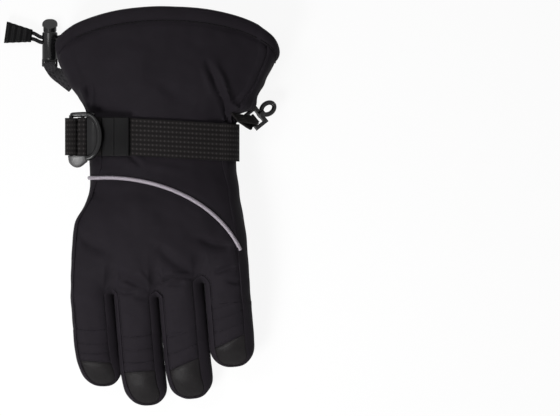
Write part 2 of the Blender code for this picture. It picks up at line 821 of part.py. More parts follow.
def build_thumb():
    turns = WALL_TURNS
    across = steps(-1, 1, LID_STEPS)
    ends = (0.975, 0.9, 0.74, 0.45)
    tips = [THUMB.end - TIP_ROUND * (1 - u) for u in ends]
    bases = [TIP_ROUND * (1 - u) for u in reversed(ends)]
    runs = steps(tips[-1], bases[0], 5)[1:-1]
    outer = [[THUMB.lid(t, s, -1) for s in across] for t in tips + runs + bases]
    sheet("thumb_outer", [outer], SHELL, SOFTSHELL, flip=True)
    inner = [[THUMB.lid(t, s, 1) for s in across] for t in tips]
    for t in steps(tips[-1], THUMB_INNER_START, 3)[1:]:
        inner.append([THUMB.lid(t, s, 1) for s in across])
    sheet("thumb_inner", [inner], SHELL, LEATHER)
    run = [*reversed(bases), *reversed(runs), *reversed(tips)]
    path = [(t, 1) for t in run] + [(t, -1) for t in reversed(run)] + [(run[0], 1)]
    wall = [[THUMB.wall(t, sign, turn) for turn in turns] for t, sign in path]
    sheet("thumb_side", [wall], SHELL, SOFTSHELL, flip=True)
    first, last = THUMB_INNER_START + 1.0, THUMB.end - TIP_ROUND
    stations = [(t, 1.0) for t in steps(first, last, 3)]
    lining = [THUMB.ring(t, -STALL_PROUD, scale, 2, 3) for t, scale in stations]
    for u, scale in ((0.3, 0.9), (0.55, 0.75), (0.75, 0.58)):
        shift = THUMB.plan(last + TIP_ROUND * u, 0) - THUMB.plan(last, 0)
        drop = THUMB.middle(None, last + TIP_ROUND * u) - THUMB.middle(None, last)
        flat = THUMB.ring(last, -STALL_PROUD, scale, 2, 3)
        lining.append([point + Vector((shift.x, shift.y, drop)) for point in flat])
    sheet("thumb_lining", [lining], STALL_LINING, FLEECE, flip=True, seal=True)
    MOVES["thumb_swing"] = (
        Vector((*THUMB_PIVOT, THUMB_GIRTHS[2].crown)),
        ["thumb_outer", "thumb_inner", "thumb_side", "thumb_lining"],
    )


def build_hem():
    """The hem is a folded channel round the cuff, open at the thumb side, with the cord in it."""
    outer = HEM_CLOTH + SEAM_GAP
    inner = -(PROUD + LINING + SEAM_GAP + FIT + HEM_CLOTH)
    middle = (outer + inner) / 2
    profile = (
        (outer, -HEM_BAND),
        (outer, -2.6),
        (outer - 1.2, -0.6),
        (middle, 0.0),
        (inner + 1.2, -0.6),
        (inner, -2.6),
        (inner, -HEM_BAND),
    )
    places = steps(3.5 + HEM_MOUTH, 4.0, 2)[:-1] + steps(4.0, 5.0, 8)[:-1]
    places += steps(5.0, 6.0, SIDE_STEPS)[:-1] + steps(6.0, 7.0, 8)[:-1] + steps(7.0, 7.5 - HEM_MOUTH, 2)
    rows = [[hull(hem_edge(q) + drop, q, out) for q in places] for out, drop in profile]
    sheet("cuff_hem", [rows], HEM_CLOTH, SOFTSHELL)
    deep = HEM_CLOTH + SEAM_GAP + CORD / 2 + FIT + CHANNEL_SLACK
    cord = [hull(hem_edge(q) - deep, q, middle) for q in places]
    tube("drawcord_ring", cord, CORD / 2, BRAID, resolution=1)
    return cord


def curve_through(points, count):
    """Evenly many points on a smooth curve through a few."""
    points = [Vector(point) for point in points]
    made = []
    for i in range(len(points) - 1):
        before = points[max(i - 1, 0)]
        first, second = points[i], points[i + 1]
        after = points[min(i + 2, len(points) - 1)]
        for k in range(count):
            t = k / count
            pull = (second - before) * 0.5
            push = (after - first) * 0.5
            h1 = t * t * (3 - 2 * t)
            spot = first * (1 - h1) + second * h1
            made.append(spot + pull * t * (1 - t) ** 2 - push * t * t * (1 - t))
    made.append(points[-1])
    return made


def build_drawcord(ring):
    """The two free strands, the toggle that holds them and the block on their ends."""
    reach = CORD_END_AT[0] + 1.0
    level = TOGGLE_Z - 0.2
    for name, start, sign in (("a", ring[0], 1), ("b", ring[-1], -1)):
        hole = CORD_HOLE_Y + sign * CORD_PITCH / 2
        neck = CORD_END_AT[1] + sign * 2.0
        rise = lay(HEM_CORNER)
        lead = 1.6 if sign > 0 else -1.4
        route = [
            (start.x, start.y + 0.5, start.z - sign * (0.8 + CORD * 0.3)),
            (start.x - 0.3, start.y + 2.4, rise + sign * 2.6),
            (start.x - 0.6, start.y + 6.0, rise + sign * 2.2),
            (start.x - 0.2, 113.4 + lead * 0.7, rise - 3.2 + sign * 2.0),
            (start.x + 1.0, 115.9 + lead * 1.3, rise - 9.2 + sign * 1.4),
            (start.x + 1.8, 116.2 + lead * 1.3, level + 5.6),
            (start.x + 0.4, 115.0 + lead * 1.3, level + 1.2),
            (TOGGLE_X + TOGGLE_RADIUS, hole, level),
            (TOGGLE_X - TOGGLE_RADIUS, hole, level),
            (TOGGLE_X - TOGGLE_RADIUS - 3.0, (hole + neck) / 2, level - 0.1),
            (reach, neck, CORD_END_AT[2]),
        ]
        tube(f"drawcord_strand_{name}", curve_through(route, 2), CORD / 2, BRAID)

    world = Matrix.Identity(4)
    ahead = (0, 1, 0)
    length = TOGGLE_RIM - TOGGLE_FLOOR
    centre = Vector((TOGGLE_X, TOGGLE_FLOOR + length / 2, TOGGLE_Z))
    barrel = solid("toggle_barrel", [rod(world, centre, ahead, TOGGLE_RADIUS, length, 20)], PLASTIC)
    rounded(barrel, 0.6)
    lug_middle = Vector((TOGGLE_X, TOGGLE_FLOOR - LUG / 2 + 0.5, TOGGLE_Z))
    half = TAPE / 2 + 1.8
    lug = [box(Matrix.Translation(lug_middle), (-half, -LUG / 2, -2.2), (half, LUG / 2 + 0.5, 2.2))]
    joined(barrel, "toggle_lug", lug)
    floor = TOGGLE_FLOOR + 1.5
    bore = TOGGLE_RIM - floor + 2
    slot = CORD_SLOT
    high = CORD / 2 + 0.4
    level_at = Vector((TOGGLE_X, CORD_HOLE_Y, level))
    cut(barrel, "toggle_bore", [rod(world, (TOGGLE_X, floor + bore / 2, TOGGLE_Z), ahead,
                                    PLUNGER + FIT, bore, 20)])
    cut(barrel, "toggle_cord_hole",
        [box(Matrix.Translation(level_at), (-9, -slot / 2, -high), (9, slot / 2, high))])
    eye = TAPE / 2 + 0.4
    cut(barrel, "toggle_eye", [box(Matrix.Translation(lug_middle), (-eye, -0.9, -9), (eye, 0.9, 9))])

    foot = BUTTON_HEAD - PLUNGER_FOOT
    middle = (TOGGLE_X, PLUNGER_FOOT + foot / 2 + 0.5, TOGGLE_Z)
    button = solid("toggle_button", [rod(world, middle, ahead, PLUNGER, foot + 1, 20)], PLASTIC)
    head = BUTTON_TOP - BUTTON_HEAD
    cap = [rod(world, (TOGGLE_X, BUTTON_HEAD + head / 2, TOGGLE_Z), ahead,
               BUTTON_RADIUS, head, 20, BUTTON_RADIUS - 0.7)]
    joined(button, "button_head", cap)
    cut(button, "button_cord_slot",
        [box(Matrix.Translation(level_at), (-9, -slot / 2, -high), (9, slot / 2 + PRESS, high))])
    slant = Matrix.Translation((TOGGLE_X, BUTTON_TOP, TOGGLE_Z)) @ Matrix.Rotation(
        math.radians(22), 4, "X")
    cut(button, "button_slant", [box(slant, (-9, -0.2, -12), (9, 9, 12))])
    coil = []
    low = floor + FIT + SPRING_WIRE / 2
    high_end = PLUNGER_FOOT - FIT - SPRING_WIRE / 2
    per_turn = 8
    total = int(SPRING_TURNS * per_turn)
    for k in range(total + 1):
        angle = 2 * math.pi * k / per_turn
        y = low + (high_end - low) * k / total
        coil.append((TOGGLE_X + SPRING_RADIUS * math.cos(angle), y,
                     TOGGLE_Z + SPRING_RADIUS * math.sin(angle)))
    tube("toggle_spring", coil, SPRING_WIRE / 2, STEEL, resolution=1)
    pitch = (high_end - low) / SPRING_TURNS
    print(f"spring gap between turns {pitch - SPRING_WIRE:.2f} mm")
    MOVES["toggle_press"] = (Vector((TOGGLE_X, BUTTON_TOP, TOGGLE_Z)), ["toggle_button"])

    build_tape(lug_middle)
    build_cord_end()


def ribbon(name, route, wides, width, thick, material):
    """A flat strip along a route; wides gives the way across it at each point."""
    rows = []
    for point, wide in zip(route, wides):
        across = Vector(wide).normalized() * width / 2
        rows.append([Vector(point) - across, Vector(point), Vector(point) + across])
    return sheet(name, [rows], thick, material, offset=0.0)


def build_tape(lug):
    """The anchor tape: both ends at the cuff's side, its fold round the toggle's bar."""
    seat = hull(86.0, 3.5, TAPE * 0.31 + TAPE_THICK)
    bar = Vector((lug.x, lug.y - 0.9 - (LUG / 2 - 0.9) / 2, lug.z))
    fold = 2.2 + FIT + TAPE_THICK / 2
    wide = (0.62, 0.78, 0)
    route = [
        seat + Vector((0, 1.4, -6.0)),
        bar + Vector((3.4, -4.6, fold + 0.6)),
        bar + Vector((0, -0.6, fold)),
        bar + Vector((0, 0.6, fold + 0.2)),
        bar + Vector((0, 1.75, fold - 0.6)),
        bar + Vector((0, 1.75, 0.6 - fold)),
        bar + Vector((0, 0.6, -fold - 0.2)),
        bar + Vector((0, -0.6, -fold)),
        bar + Vector((3.4, -4.6, -fold + 0.2)),
        seat + Vector((0, 1.4, -9.0)),
    ]
    wides = [wide, (0.9, 0.4, 0)] + [(1, 0, 0)] * 6 + [(0.9, 0.4, 0), wide]
    ribbon("anchor_tape", route, wides, TAPE, TAPE_THICK, BRAID)


def build_cord_end():
    turn = Matrix.Translation(CORD_END_AT) @ Matrix.Rotation(math.radians(180 - CORD_END_TURN), 4, "Z")
    rows = []
    count = 2 * CORD_END_RIBS + 2
    for k, v in enumerate(steps(0, 1, count)):
        half = (CORD_END_NECK + (CORD_END_MOUTH - CORD_END_NECK) * v) / 2
        rib = 0.0 if k % 2 else 0.45
        deep = CORD_END_THICK / 2 - rib * (0 < k < count)
        ring = [(half, 0.6 * deep), (0.8 * half, deep), (-0.8 * half, deep), (-half, 0.6 * deep)]
        ring += [(-y, -z) for y, z in ring]
        rows.append([turn @ Vector((CORD_END_LENGTH * v, y, z)) for y, z in ring + ring[:1]])
    mesh = bpy.data.meshes.new("cord_end")
    bm = bmesh.new()
    across, along = len(rows[0]) - 1, len(rows) - 1
    grid = bmesh.ops.create_grid(bm, x_segments=across, y_segments=along, size=1.0)
    for vert in grid["verts"]:
        column = round((vert.co.x + 1) / 2 * across)
        vert.co = rows[round((vert.co.y + 1) / 2 * along)][column] * MM
    bmesh.ops.remove_doubles(bm, verts=bm.verts, dist=0.02 * MM)
    bmesh.ops.holes_fill(bm, edges=bm.edges, sides=0)
    bmesh.ops.recalc_face_normals(bm, faces=bm.faces)
    bm.to_mesh(mesh)
    bm.free()
    obj = place(bpy.data.objects.new("cord_end", mesh), PLASTIC)
    neck = turn @ Matrix.Translation((0, 0, 0))
    for sign in (-1, 1):
        hole = rod(neck, (1.0, sign * 2.0, 0), (1, 0, 0), CORD / 2 + FIT, 7.0, 12)
        cut(obj, f"cord_end_hole_{'ab'[sign > 0]}", [hole])


def strap_y(x):
    return STRAP_CENTRE + STRAP_SLOPE * x


def gather_reach(q):
    """How far the shirred wrist may stand out at q."""
    inside = smooth((q - 1) * 3) * smooth((4 - q) * 3)
    return (ELASTIC + FIT + GATHER_DEPTH) * inside if 1 < q < 4 else 0.0


def strap_points(q):
    """Across the strap at q: three points that follow the wrist, lifted off it."""
    points = []
    offset = STRAP_LIFT + WEBBING_THICK + gather_reach(q)
    x = hull(STRAP_CENTRE, q).x
    for v in (-0.5, 0.0, 0.5):
        y = strap_y(x) + WEBBING * v
        points.append(hull(y, q, offset))
    return points


def build_strap():
    """The strap lies on the wrist from the little-finger side, then runs straight to the buckle."""
    contact_q = (STRAP_LEAVE + 1) / 2
    places = steps(1.8, 1.0, 6)[:-1] + steps(0.9999, contact_q, 10)
    rows = [strap_points(q) for q in places]
    middle, before = rows[-1][1], rows[-2][1]
    flat = Vector((middle.x, middle.y, middle.z))
    along = Vector((before.x - middle.x, 0, before.z - middle.z)).normalized()
    frame = local_frame(flat, along, (0, 0, 1))
    lift = FRAME_LIFT - WEBBING_THICK / 2
    centre = frame @ Vector((-BUCKLE_FROM_CONTACT, 0, lift))
    frame.translation = centre
    low = -FRAME_LIFT + WEBBING_THICK / 2

    def across(a, c):
        return [frame @ Vector((a, WEBBING * v, c)) for v in (-0.5, 0.0, 0.5)]

    join = BUCKLE_LENGTH - 1.0
    rows.append(across(BUCKLE_FROM_CONTACT - 4.0, low))
    rows.append(across(join + FIT, low))
    sheet("wrist_strap", [rows], WEBBING_THICK, WEB)

    bar_high = MIDDLE_BAR / 2 + FIT + WEBBING_THICK
    rear = MIDDLE_BAR_AT - MIDDLE_BAR / 2 - FIT - WEBBING_THICK
    front = MIDDLE_BAR_AT + MIDDLE_BAR / 2 + FIT + WEBBING_THICK
    tail = low + WEBBING_THICK + FIT
    turn = [
        (join, low - WEBBING_THICK),
        (rear + 1.6, low - WEBBING_THICK),
        (rear + 0.3, low - WEBBING_THICK + 0.7),
        (rear, low),
        (rear, bar_high - 1.3),
        (rear + 0.5, bar_high - 0.4),
        (rear + 1.4, bar_high),
        (front - 1.4, bar_high),
        (front - 0.4, bar_high - 0.5),
        (front, bar_high - 1.4),
        (front + 0.1, tail + 0.9),
        (front + 0.5, tail + 0.25),
        (front + 1.4, tail),
        (join, tail),
    ]
    rows = [across(a, c) for a, c in turn]
    sheet("strap_turn", [rows], WEBBING_THICK, WEB, flip=True)

    start = join + FIT
    half = WEBBING / 2 + 0.6
    tab = solid("strap_end_tab", [box(frame, (start, -half, tail - WEBBING_THICK),
                                      (start + TAB_LENGTH, half, tail - WEBBING_THICK + TAB_THICK))],
                PLASTIC)
    cut(tab, "tab_groove", [box(frame, (start + TAB_LENGTH / 2 - 0.5, -half - 1,
                                        tail - WEBBING_THICK + TAB_THICK - 0.6),
                                (start + TAB_LENGTH / 2 + 0.5, half + 1, tail + 9))])
    rounded(tab, 0.5)
    build_buckle(frame)
    return frame


def build_buckle(frame):
    half = BUCKLE_WIDTH / 2
    rear = -BAR / 2 - 0.6
    shapes = [box(frame, (rear, half - RAIL, -RAIL_THICK / 2), (BUCKLE_LENGTH - 6.0, half, RAIL_THICK / 2))]
    buckle = solid("buckle", shapes, PLASTIC)
    rounded(buckle, 0.7)
    other = solid("buckle_rail", [box(frame, (rear, -half, -RAIL_THICK / 2),
                                      (BUCKLE_LENGTH - 6.0, RAIL - half, RAIL_THICK / 2))],
                  None, "glove_cutters")
    rounded(other, 0.7)
    shape_by(buckle, other, "UNION")
    length = BUCKLE_WIDTH - RAIL
    joined(buckle, "buckle_rear_bar", [rod(frame, (0, 0, 0), (0, 1, 0), BAR / 2, length, 12)])
    thin = MIDDLE_BAR / 2
    crossing = box(frame, (MIDDLE_BAR_AT - thin, -length / 2, -thin), (MIDDLE_BAR_AT + thin, length / 2, thin))
    joined(buckle, "buckle_middle_bar", [crossing])
    rows = []
    reach = BUCKLE_LENGTH - 2.0
    for v in steps(0, 1, 6):
        a = TONGUE_AT + (reach - TONGUE_AT) * v
        wide = (half - 0.6) * (1 - 0.42 * v ** 3)
        c = TONGUE_THICK / 2 + 0.1 + 1.5 * v * v
        rows.append([frame @ Vector((a, wide * s, c + 0.5 * (1 - s * s))) for s in steps(-1, 1, 6)])
    tongue = sheet("buckle_tongue", [rows], TONGUE_THICK, None, flip=True, collection="glove_cutters")
    tongue.display_type = "WIRE"
    tongue.hide_render = True
    shape_by(buckle, tongue, "UNION")
    origin = frame.translation
    MOVES["buckle_tilt"] = (origin.copy(), ["buckle"])

    ring = BAR / 2 + FIT + LOOP_THICK
    off = gather_reach(3.4) + SEAM_GAP + LOOP_THICK
    seat = hull(origin.y, 3.42, off)
    rows = []
    route = []
    wall = [hull(origin.y, q, off) for q in (3.22, 3.42)]
    route.append((wall[0].x, wall[0].z))
    route.append((wall[1].x, wall[1].z))
    away = Vector((wall[1].x - origin.x, wall[1].z - origin.z)).normalized()
    first = math.atan2(away.y, away.x)
    for angle in steps(first + math.radians(78), first + math.radians(282), 8):
        route.append((origin.x + ring * math.cos(angle), origin.z + ring * math.sin(angle)))
    route.append((seat.x - 2 * LOOP_THICK - 1.3, seat.z - 1.5))
    route.append((wall[0].x - 2 * LOOP_THICK, wall[0].z + 0.5))
    for x, z in route:
        rows.append([Vector((x, origin.y + WEBBING * v, z)) for v in (-0.5, 0.0, 0.5)])
    sheet("buckle_loop", [rows], LOOP_THICK, WEB, flip=True)


def build_pull_loop():
    """A leather strip sewn on the palm side of the cuff, folded past the hem."""
    q = 2.5
    edge = hem_edge(q)
    skin = HEM_CLOTH + SEAM_GAP + FIT
    flat = FIT + 0.2
    outside = [(edge - LOOP_SEWN, flat), (edge - HEM_BAND - 2.6, flat)]
    outside += [(edge - HEM_BAND - 0.6, skin), (edge - 1.0, skin), (edge + 0.6, skin)]
    route = [(y, lay(y) - (HEM.palm + out + LOOP_LEATHER)) for y, out in outside]
    bottom = route[-1][1]
    middle = bottom + LOOP_RISE / 2
    bend = edge + 1.4
    for angle in steps(-90, 90, 8):
        turn = math.radians(angle)
        deep = (LOOP_REACH - 1.4) * math.cos(turn)
        route.append((bend + deep, middle + LOOP_RISE / 2 * math.sin(turn)))
    inner = HEM.palm - (PROUD + LINING + 2 * SEAM_GAP + FIT + HEM_CLOTH) - LOOP_LEATHER
    route.append((edge + 0.2, lay(edge) - inner - 0.3))
    route += [(y, lay(y) - inner) for y in (edge - 1.5, edge - HEM_BAND - 3.0)]
    rows = []
    for y, z in route:
        rows.append([Vector((HEM.centre + LOOP_WIDTH * v, y, z)) for v in (-0.5, 0.0, 0.5)])
    sheet("pull_loop", [rows], LOOP_LEATHER, LEATHER, flip=True)


def build_clip():
    """A moulded hook on a webbing tab sewn to the cuff's little-finger side."""
    turn = math.radians(CLIP_TURN)
    dip = math.radians(CLIP_DIP)
    along = Vector((math.cos(turn) * math.cos(dip), math.sin(turn) * math.cos(dip), -math.sin(dip)))
    frame = local_frame(CLIP_AT, along, (0, 0, 1))
    wire = CLIP_WIRE / 2
    half = CLIP_EYE / 2
    clip = solid("clip", [box(frame, (-wire, -half, -wire), (CLIP_EYE_LENGTH, half, wire))], PLASTIC)
    rounded(clip, 0.5)
    window = box(frame, (wire, CLIP_WIRE - half, -9), (CLIP_EYE_LENGTH - CLIP_WIRE, half - CLIP_WIRE, 9))
    cut(clip, "clip_window", [window])
    outer_at = Vector((CLIP_EYE_LENGTH + CLIP_RING_LENGTH / 2 - 0.6, 0, 0))
    inner_at = Vector((CLIP_EYE_LENGTH + CLIP_RING_LENGTH / 2, 0, 0))
    plate = rod(frame, outer_at, (0, 0, 1), 1.0, CLIP_WIRE * 1.1, 20)
    ring = solid("clip_ring", [plate], None, "glove_cutters")
    centre = frame @ outer_at * MM
    stretch = frame.to_3x3().to_4x4()
    scale = stretch @ Matrix.Diagonal((CLIP_RING_LENGTH / 2, CLIP_RING / 2, 1.0, 1.0)) @ stretch.inverted()
    ring.data.transform(Matrix.Translation(centre) @ scale @ Matrix.Translation(-centre))
    shape_by(clip, ring, "UNION")
    drill = rod(frame, inner_at, (0, 0, 1), 1.0, 9, 20)
    hole = solid("clip_ring_hole", [drill], None, "glove_cutters")
    centre = frame @ inner_at * MM
    inner = (CLIP_RING_LENGTH / 2 - CLIP_WIRE, CLIP_RING / 2 - CLIP_WIRE + 0.2, 1.0, 1.0)
    scale = stretch @ Matrix.Diagonal(inner) @ stretch.inverted()
    hole.data.transform(Matrix.Translation(centre) @ scale @ Matrix.Translation(-centre))
    shape_by(clip, hole, "DIFFERENCE")
    MOVES["clip_swing"] = (Vector(CLIP_AT), ["clip"])

    ring_out = wire * math.sqrt(2) + FIT + CLIP_SWING_ROOM + TAPE_THICK / 2
    wide = frame.to_3x3() @ Vector((0, 1, 0))
    seat = hull(61.0, 1.2, abs(wide.x) * CLIP_TAB / 2 + 2.6)
    middle = Vector(CLIP_AT)
    away = frame.to_3x3().inverted() @ (seat - middle)
    first = math.atan2(away.z, away.x)
    lead = Vector((away.x, 0, away.z)).normalized() * CLIP_LEAD
    turns = steps(first - math.radians(75), first - math.radians(285), 8)
    spots = [Vector((ring_out * math.cos(angle), 0, ring_out * math.sin(angle))) for angle in turns]
    spots = [spots[0] + lead, *spots, spots[-1] + lead]
    route = [seat + Vector((0, 0, 1.1))]
    route += [middle + frame.to_3x3() @ spot for spot in spots]
    route.append(seat + Vector((0, 0, -1.1)))
    ribbon("clip_tab", route, [wide] * len(route), CLIP_TAB, TAPE_THICK, WEB)
    print("clip axis", [round(v, 4) for v in wide])


def settle():
    """Puts the foot of the whole glove at the origin and hangs each moving piece on its axis."""
    graph = bpy.context.evaluated_depsgraph_get()
    low, high = Vector((1e9,) * 3), Vector((-1e9,) * 3)
    pieces = list(bpy.data.collections["ski_glove"].objects)
    for obj in pieces:
        if obj.name in CORD_PIECES:
            continue
        shaped = obj.evaluated_get(graph)
        for vert in shaped.to_mesh().vertices:
            low = Vector(map(min, low, vert.co))
            high = Vector(map(max, high, vert.co))
        shaped.to_mesh_clear()
    shift = Vector((-(low.x + high.x) / 2, -(low.y + high.y) / 2, -low.z))
    root = place(bpy.data.objects.new("glove_root", None), None)
    root.location = shift
    moving = {}
    for joint, (pivot, names) in MOVES.items():
        axis = place(bpy.data.objects.new(f"{joint}_axis", None), None)
        axis.parent = root
        axis.location = pivot * MM
        moving.update({name: axis for name in names})
        print("axis", joint, [round(v, 6) for v in pivot * MM + shift])
    for obj in pieces:
        axis = moving.get(obj.name)
        obj.parent = axis or root
        if axis:
            obj.location = -axis.location
    for cutter in bpy.data.collections["glove_cutters"].objects:
        cutter.parent = root
    print("shift", [round(v, 6) for v in shift], "size", [round(v, 4) for v in high - low])


def main():
    clear_scene()
    build_shell()
    build_sides()
    for finger in FINGERS:
        build_finger(finger)
    build_thumb()
    build_drawcord(build_hem())
    build_strap()
    build_pull_loop()
    build_clip()
    settle()


main()
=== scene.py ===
"""Looks of a left-hand gauntlet ski glove lying palm down, on its CAD frame.

Shapes are worked out in millimetres, in the drawing's own frame, and moved to the row frame
when a mesh is made.
"""

import json
import math
from collections import namedtuple

import bmesh
import bpy
import numpy as np
from bpy.props import FloatProperty, FloatVectorProperty, PointerProperty
from bpy.types import Operator, Panel, PropertyGroup
from mathutils import Matrix, Vector, noise


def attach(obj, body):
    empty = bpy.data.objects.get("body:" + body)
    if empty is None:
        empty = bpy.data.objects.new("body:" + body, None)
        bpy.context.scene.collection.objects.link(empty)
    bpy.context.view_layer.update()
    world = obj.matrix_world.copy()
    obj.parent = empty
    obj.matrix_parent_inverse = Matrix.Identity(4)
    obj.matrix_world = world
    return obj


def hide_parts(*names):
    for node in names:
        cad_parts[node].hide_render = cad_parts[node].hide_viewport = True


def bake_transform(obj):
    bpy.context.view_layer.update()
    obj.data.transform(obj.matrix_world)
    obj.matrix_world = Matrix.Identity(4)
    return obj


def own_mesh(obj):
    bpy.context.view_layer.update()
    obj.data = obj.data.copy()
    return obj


bl_info = {
    "name": "Ski Glove",
    "version": (1, 0, 0),
    "blender": (4, 5, 0),
    "location": "View3D > Sidebar > Ski Glove",
    "description": "Builds the looks of a left-hand ski glove on its CAD frame",
    "category": "Add Mesh",
}

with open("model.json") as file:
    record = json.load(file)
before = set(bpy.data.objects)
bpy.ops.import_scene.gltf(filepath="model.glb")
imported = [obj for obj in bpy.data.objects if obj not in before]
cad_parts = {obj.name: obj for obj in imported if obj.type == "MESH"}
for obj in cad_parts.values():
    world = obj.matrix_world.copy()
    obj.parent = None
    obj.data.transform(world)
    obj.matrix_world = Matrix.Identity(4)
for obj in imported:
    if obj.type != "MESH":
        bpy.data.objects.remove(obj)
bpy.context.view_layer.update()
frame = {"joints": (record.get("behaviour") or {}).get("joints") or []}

# Scale, and columns of the photo in pixels
MM = 0.001
MM_PER_PIXEL = 0.674
PHOTO_ORIGIN = 163
PHOTO_MIDDLE = 280

JOINTS = {joint["name"]: joint for joint in frame["joints"]}

# Sections of the hand and the gauntlet, from the hem to the knuckles
Station = namedtuple("Station", "y width centre side rise crown palm")
HEM = Station(108.0, 150.0, 2.4, 13.0, 15.0, 25.0, 23.0)
FLARE = Station(84.0, 132.0, 2.7, 12.0, 14.5, 24.0, 22.0)
WRIST_TOP = Station(60.0, 98.6, -0.3, 9.0, 12.0, 20.0, 17.5)
WRIST = WRIST_TOP._replace(y=32.5)
PALM_TOP = Station(10.0, 100.6, 1.1, 4.8, 10.0, 19.5, 15.0)
PALM = Station(-11.0, 113.4, -1.9, 4.5, 9.2, 18.5, 14.0)
PALM_LOW = Station(-32.0, 117.4, -2.0, 4.4, 8.6, 17.0, 13.0)
KNUCKLE = Station(-57.0, 120.0, -1.8, 4.2, 8.3, 14.0, 12.0)
HEM_TOP = HEM._replace(y=HEM.y + 30.0)
STATIONS = (HEM_TOP, HEM, FLARE, WRIST_TOP, WRIST, PALM_TOP, PALM, PALM_LOW, KNUCKLE)

# Level over the floor at which the middle of the glove lies
Height = namedtuple("Height", "y z")
LAY = (
    Height(136.0, 27.4),
    Height(84.0, 25.2),
    Height(60.0, 22.5),
    Height(32.5, 22.5),
    Height(14.0, 27.2),
    Height(0.0, 31.4),
    Height(-14.0, 33.8),
    Height(-32.0, 34.6),
    Height(-57.0, 32.6),
    Height(-75.0, 27.0),
    Height(-100.0, 18.5),
    Height(-134.0, 10.5),
)

# Shell, hem, lining and cuff
EDGE = 0.07
SHELL = 1.4
HEM_CORNER = 107.5
HEM_BACK_RISE = 27.5
HEM_PALM_RISE = 22.0
HEM_BACK_FULL = 0.5
HEM_PALM_FULL = 1.0
CORD_DEEP = 4.2
HEM_BAND = 10.0
HEM_MOUTH = 1 / 6
HEM_TURN = 2.1
CHANNEL = 6.4
CORD = 2.6
LINING_OUT = -3.1
LINING = 3.0
STALL_LINING = 1.6
HEM_INNER = LINING_OUT - LINING - HEM_TURN
CUFF_LEFT = -0.5
CUFF_RIGHT = 1.15
OVERHANG_AT = 67.0
OVERHANG_RISE = 5.0
OVERHANG_FADE = 8.5
OVERHANG_OUT = 9.0

# Piping over the back
PIPING = 2.7
PIPING_CENTRE = -38.0
PIPING_TOP = 20.3
PIPING_REACH = 95.0
PIPING_DROP = 70.7

# Shirred wrist
GATHER_TOP = 57.5
GATHER_LOW = 34.5
PLEATS = 36
PLEAT_DEEP = 2.6
LAST_PLACE = 3.9999

# Fingers
FINGER_SEAM = 10.5
GAP_HALVES = (14.85, 14.88, 15.95)
OUTER_HALF = 14.2
FINGER_ROLL = -1.9
HAND_ROLL = -2.3
TIP_BULGE = 5.4
TIP_PUSH = 4.9
TIP_ROUND = 10.0
TIP_LEAN = 24.0
TIP_NARROW = 0.35
WALL_FULL = 1.35
ROOT_RISE = 8.3
TIP_RISE = 5.6
ROOT_CROWN = 11.0
TIP_CROWN = 8.8
PALM_CROWN = 10.2
TIP_PALM_CROWN = 8.0
FLEX_HALF = 3.6
KNUCKLE_FADE = 17.0
SEAM_FADE = 40.0
FingerSize = namedtuple("FingerSize", "name root tip flex cap cap_slant quilts quilt_slant lean")
FINGER_SIZES = (
    FingerSize("index", (-47.6, -58.0), (-43.0, -120.0), 26.5, 45.5, 3.0, (33.0, 39.5), 1.5, 3.6),
    FingerSize("middle", (-17.6, -58.0), (-12.2, -132.8), 31.0, 52.0, 0.0, (37.0, 45.5), 0.0, 2.6),
    FingerSize("ring", (12.1, -55.0), (18.2, -128.2), 32.0, 50.0, -7.0, (40.0,), -5.5, 1.6),
    FingerSize("little", (44.0, -49.0), (48.6, -106.6), 18.4, 40.5, -8.0, (23.0, 31.5), -5.5, -0.6),
)
CROTCHES = (-58.0, -60.0, -50.4)
CROTCH_ARCH = 1.35

# Thumb
THUMB_ROOT = (-27.0, 14.0)
THUMB_TIP = (-12.8, -73.5)
THUMB_PIVOT = (-30.0, 2.0)
THUMB_OPEN = 34.0
THUMB_BULGE = 4.2
THUMB_BASE = -20.0
THUMB_BEND = ((-27.0, 28.0), (-27.0, -2.0))
THUMB_BEND_HEIGHT = 0.01
Girth = namedtuple("Girth", "t crown rise")
THUMB_GIRTHS = (
    Girth(90.0, 7.0, 4.6),
    Girth(62.0, 9.0, 5.8),
    Girth(40.0, 10.5, 6.8),
    Girth(16.0, 8.5, 5.6),
    Girth(0.0, 5.2, 3.6),
)
THUMB_HALVES = (20.0, 11.5)
THUMB_ROOT_Q = (3.2, 2.6)

# Wrist strap, buckle and end tab
WEBBING = 25.0
WEBBING_THICK = 1.5
STRAP_CENTRE = 46.5
STRAP_SLOPE = -0.055
STRAP_LEAVE = -0.62
STRAP_JOIN = 20.3
BUCKLE_FROM_CONTACT = 36.0
BUCKLE_LENGTH = 21.3
BUCKLE_HALF = 14.3
BUCKLE_BAR = 3.0
BUCKLE_LOOP_THICK = 1.2
MIDDLE_BAR = 2.4
MIDDLE_BAR_AT = 7.9
BROAD_RAIL = 13.4
TONGUE_FROM = 11.4
FRAME_LIFT = 4.3
TAB_LENGTH = 19.0
TAB_THICK = 2.6
TAB_GROOVE = (8.6, 9.2)
TAB_GROOVE_LEVELS = (2.1, 9.0)

# Cord lock, cord end and anchor tape
TOGGLE = np.array((-76.8, 0.0, 5.8))
TOGGLE_RADIUS = 5.2
TOGGLE_FLOOR = 100.0
TOGGLE_RIM = 119.0
TOGGLE_BORE = 4.75
BORE_AT = 111.2
BORE_LENGTH = 19.4
LUG_DROP = 2.0
PLUNGER = 4.5
PLUNGER_AT = 115.5
PLUNGER_LENGTH = 16.2
BUTTON_HEAD = 122.6
BUTTON_TOP = 128.0
BUTTON_SLANT = 36.0
BUTTON_SLANT_DROP = 3.6
SPRING_COIL = 2.4
SPRING_WIRE = 0.3
SPRING_TURNS = 4.0
SPRING_ENDS = (102.1, 106.8)
CORD_HOLE = 113.4
CORD_HOLE_HALVES = (3.35, 1.7)
CORD_PITCH = 3.3
CORD_END = np.array((-89.0, 116.4, 5.2))
CORD_END_TURN = 172.0
CORD_END_LENGTH = 18.0
CORD_END_NECK = 8.6
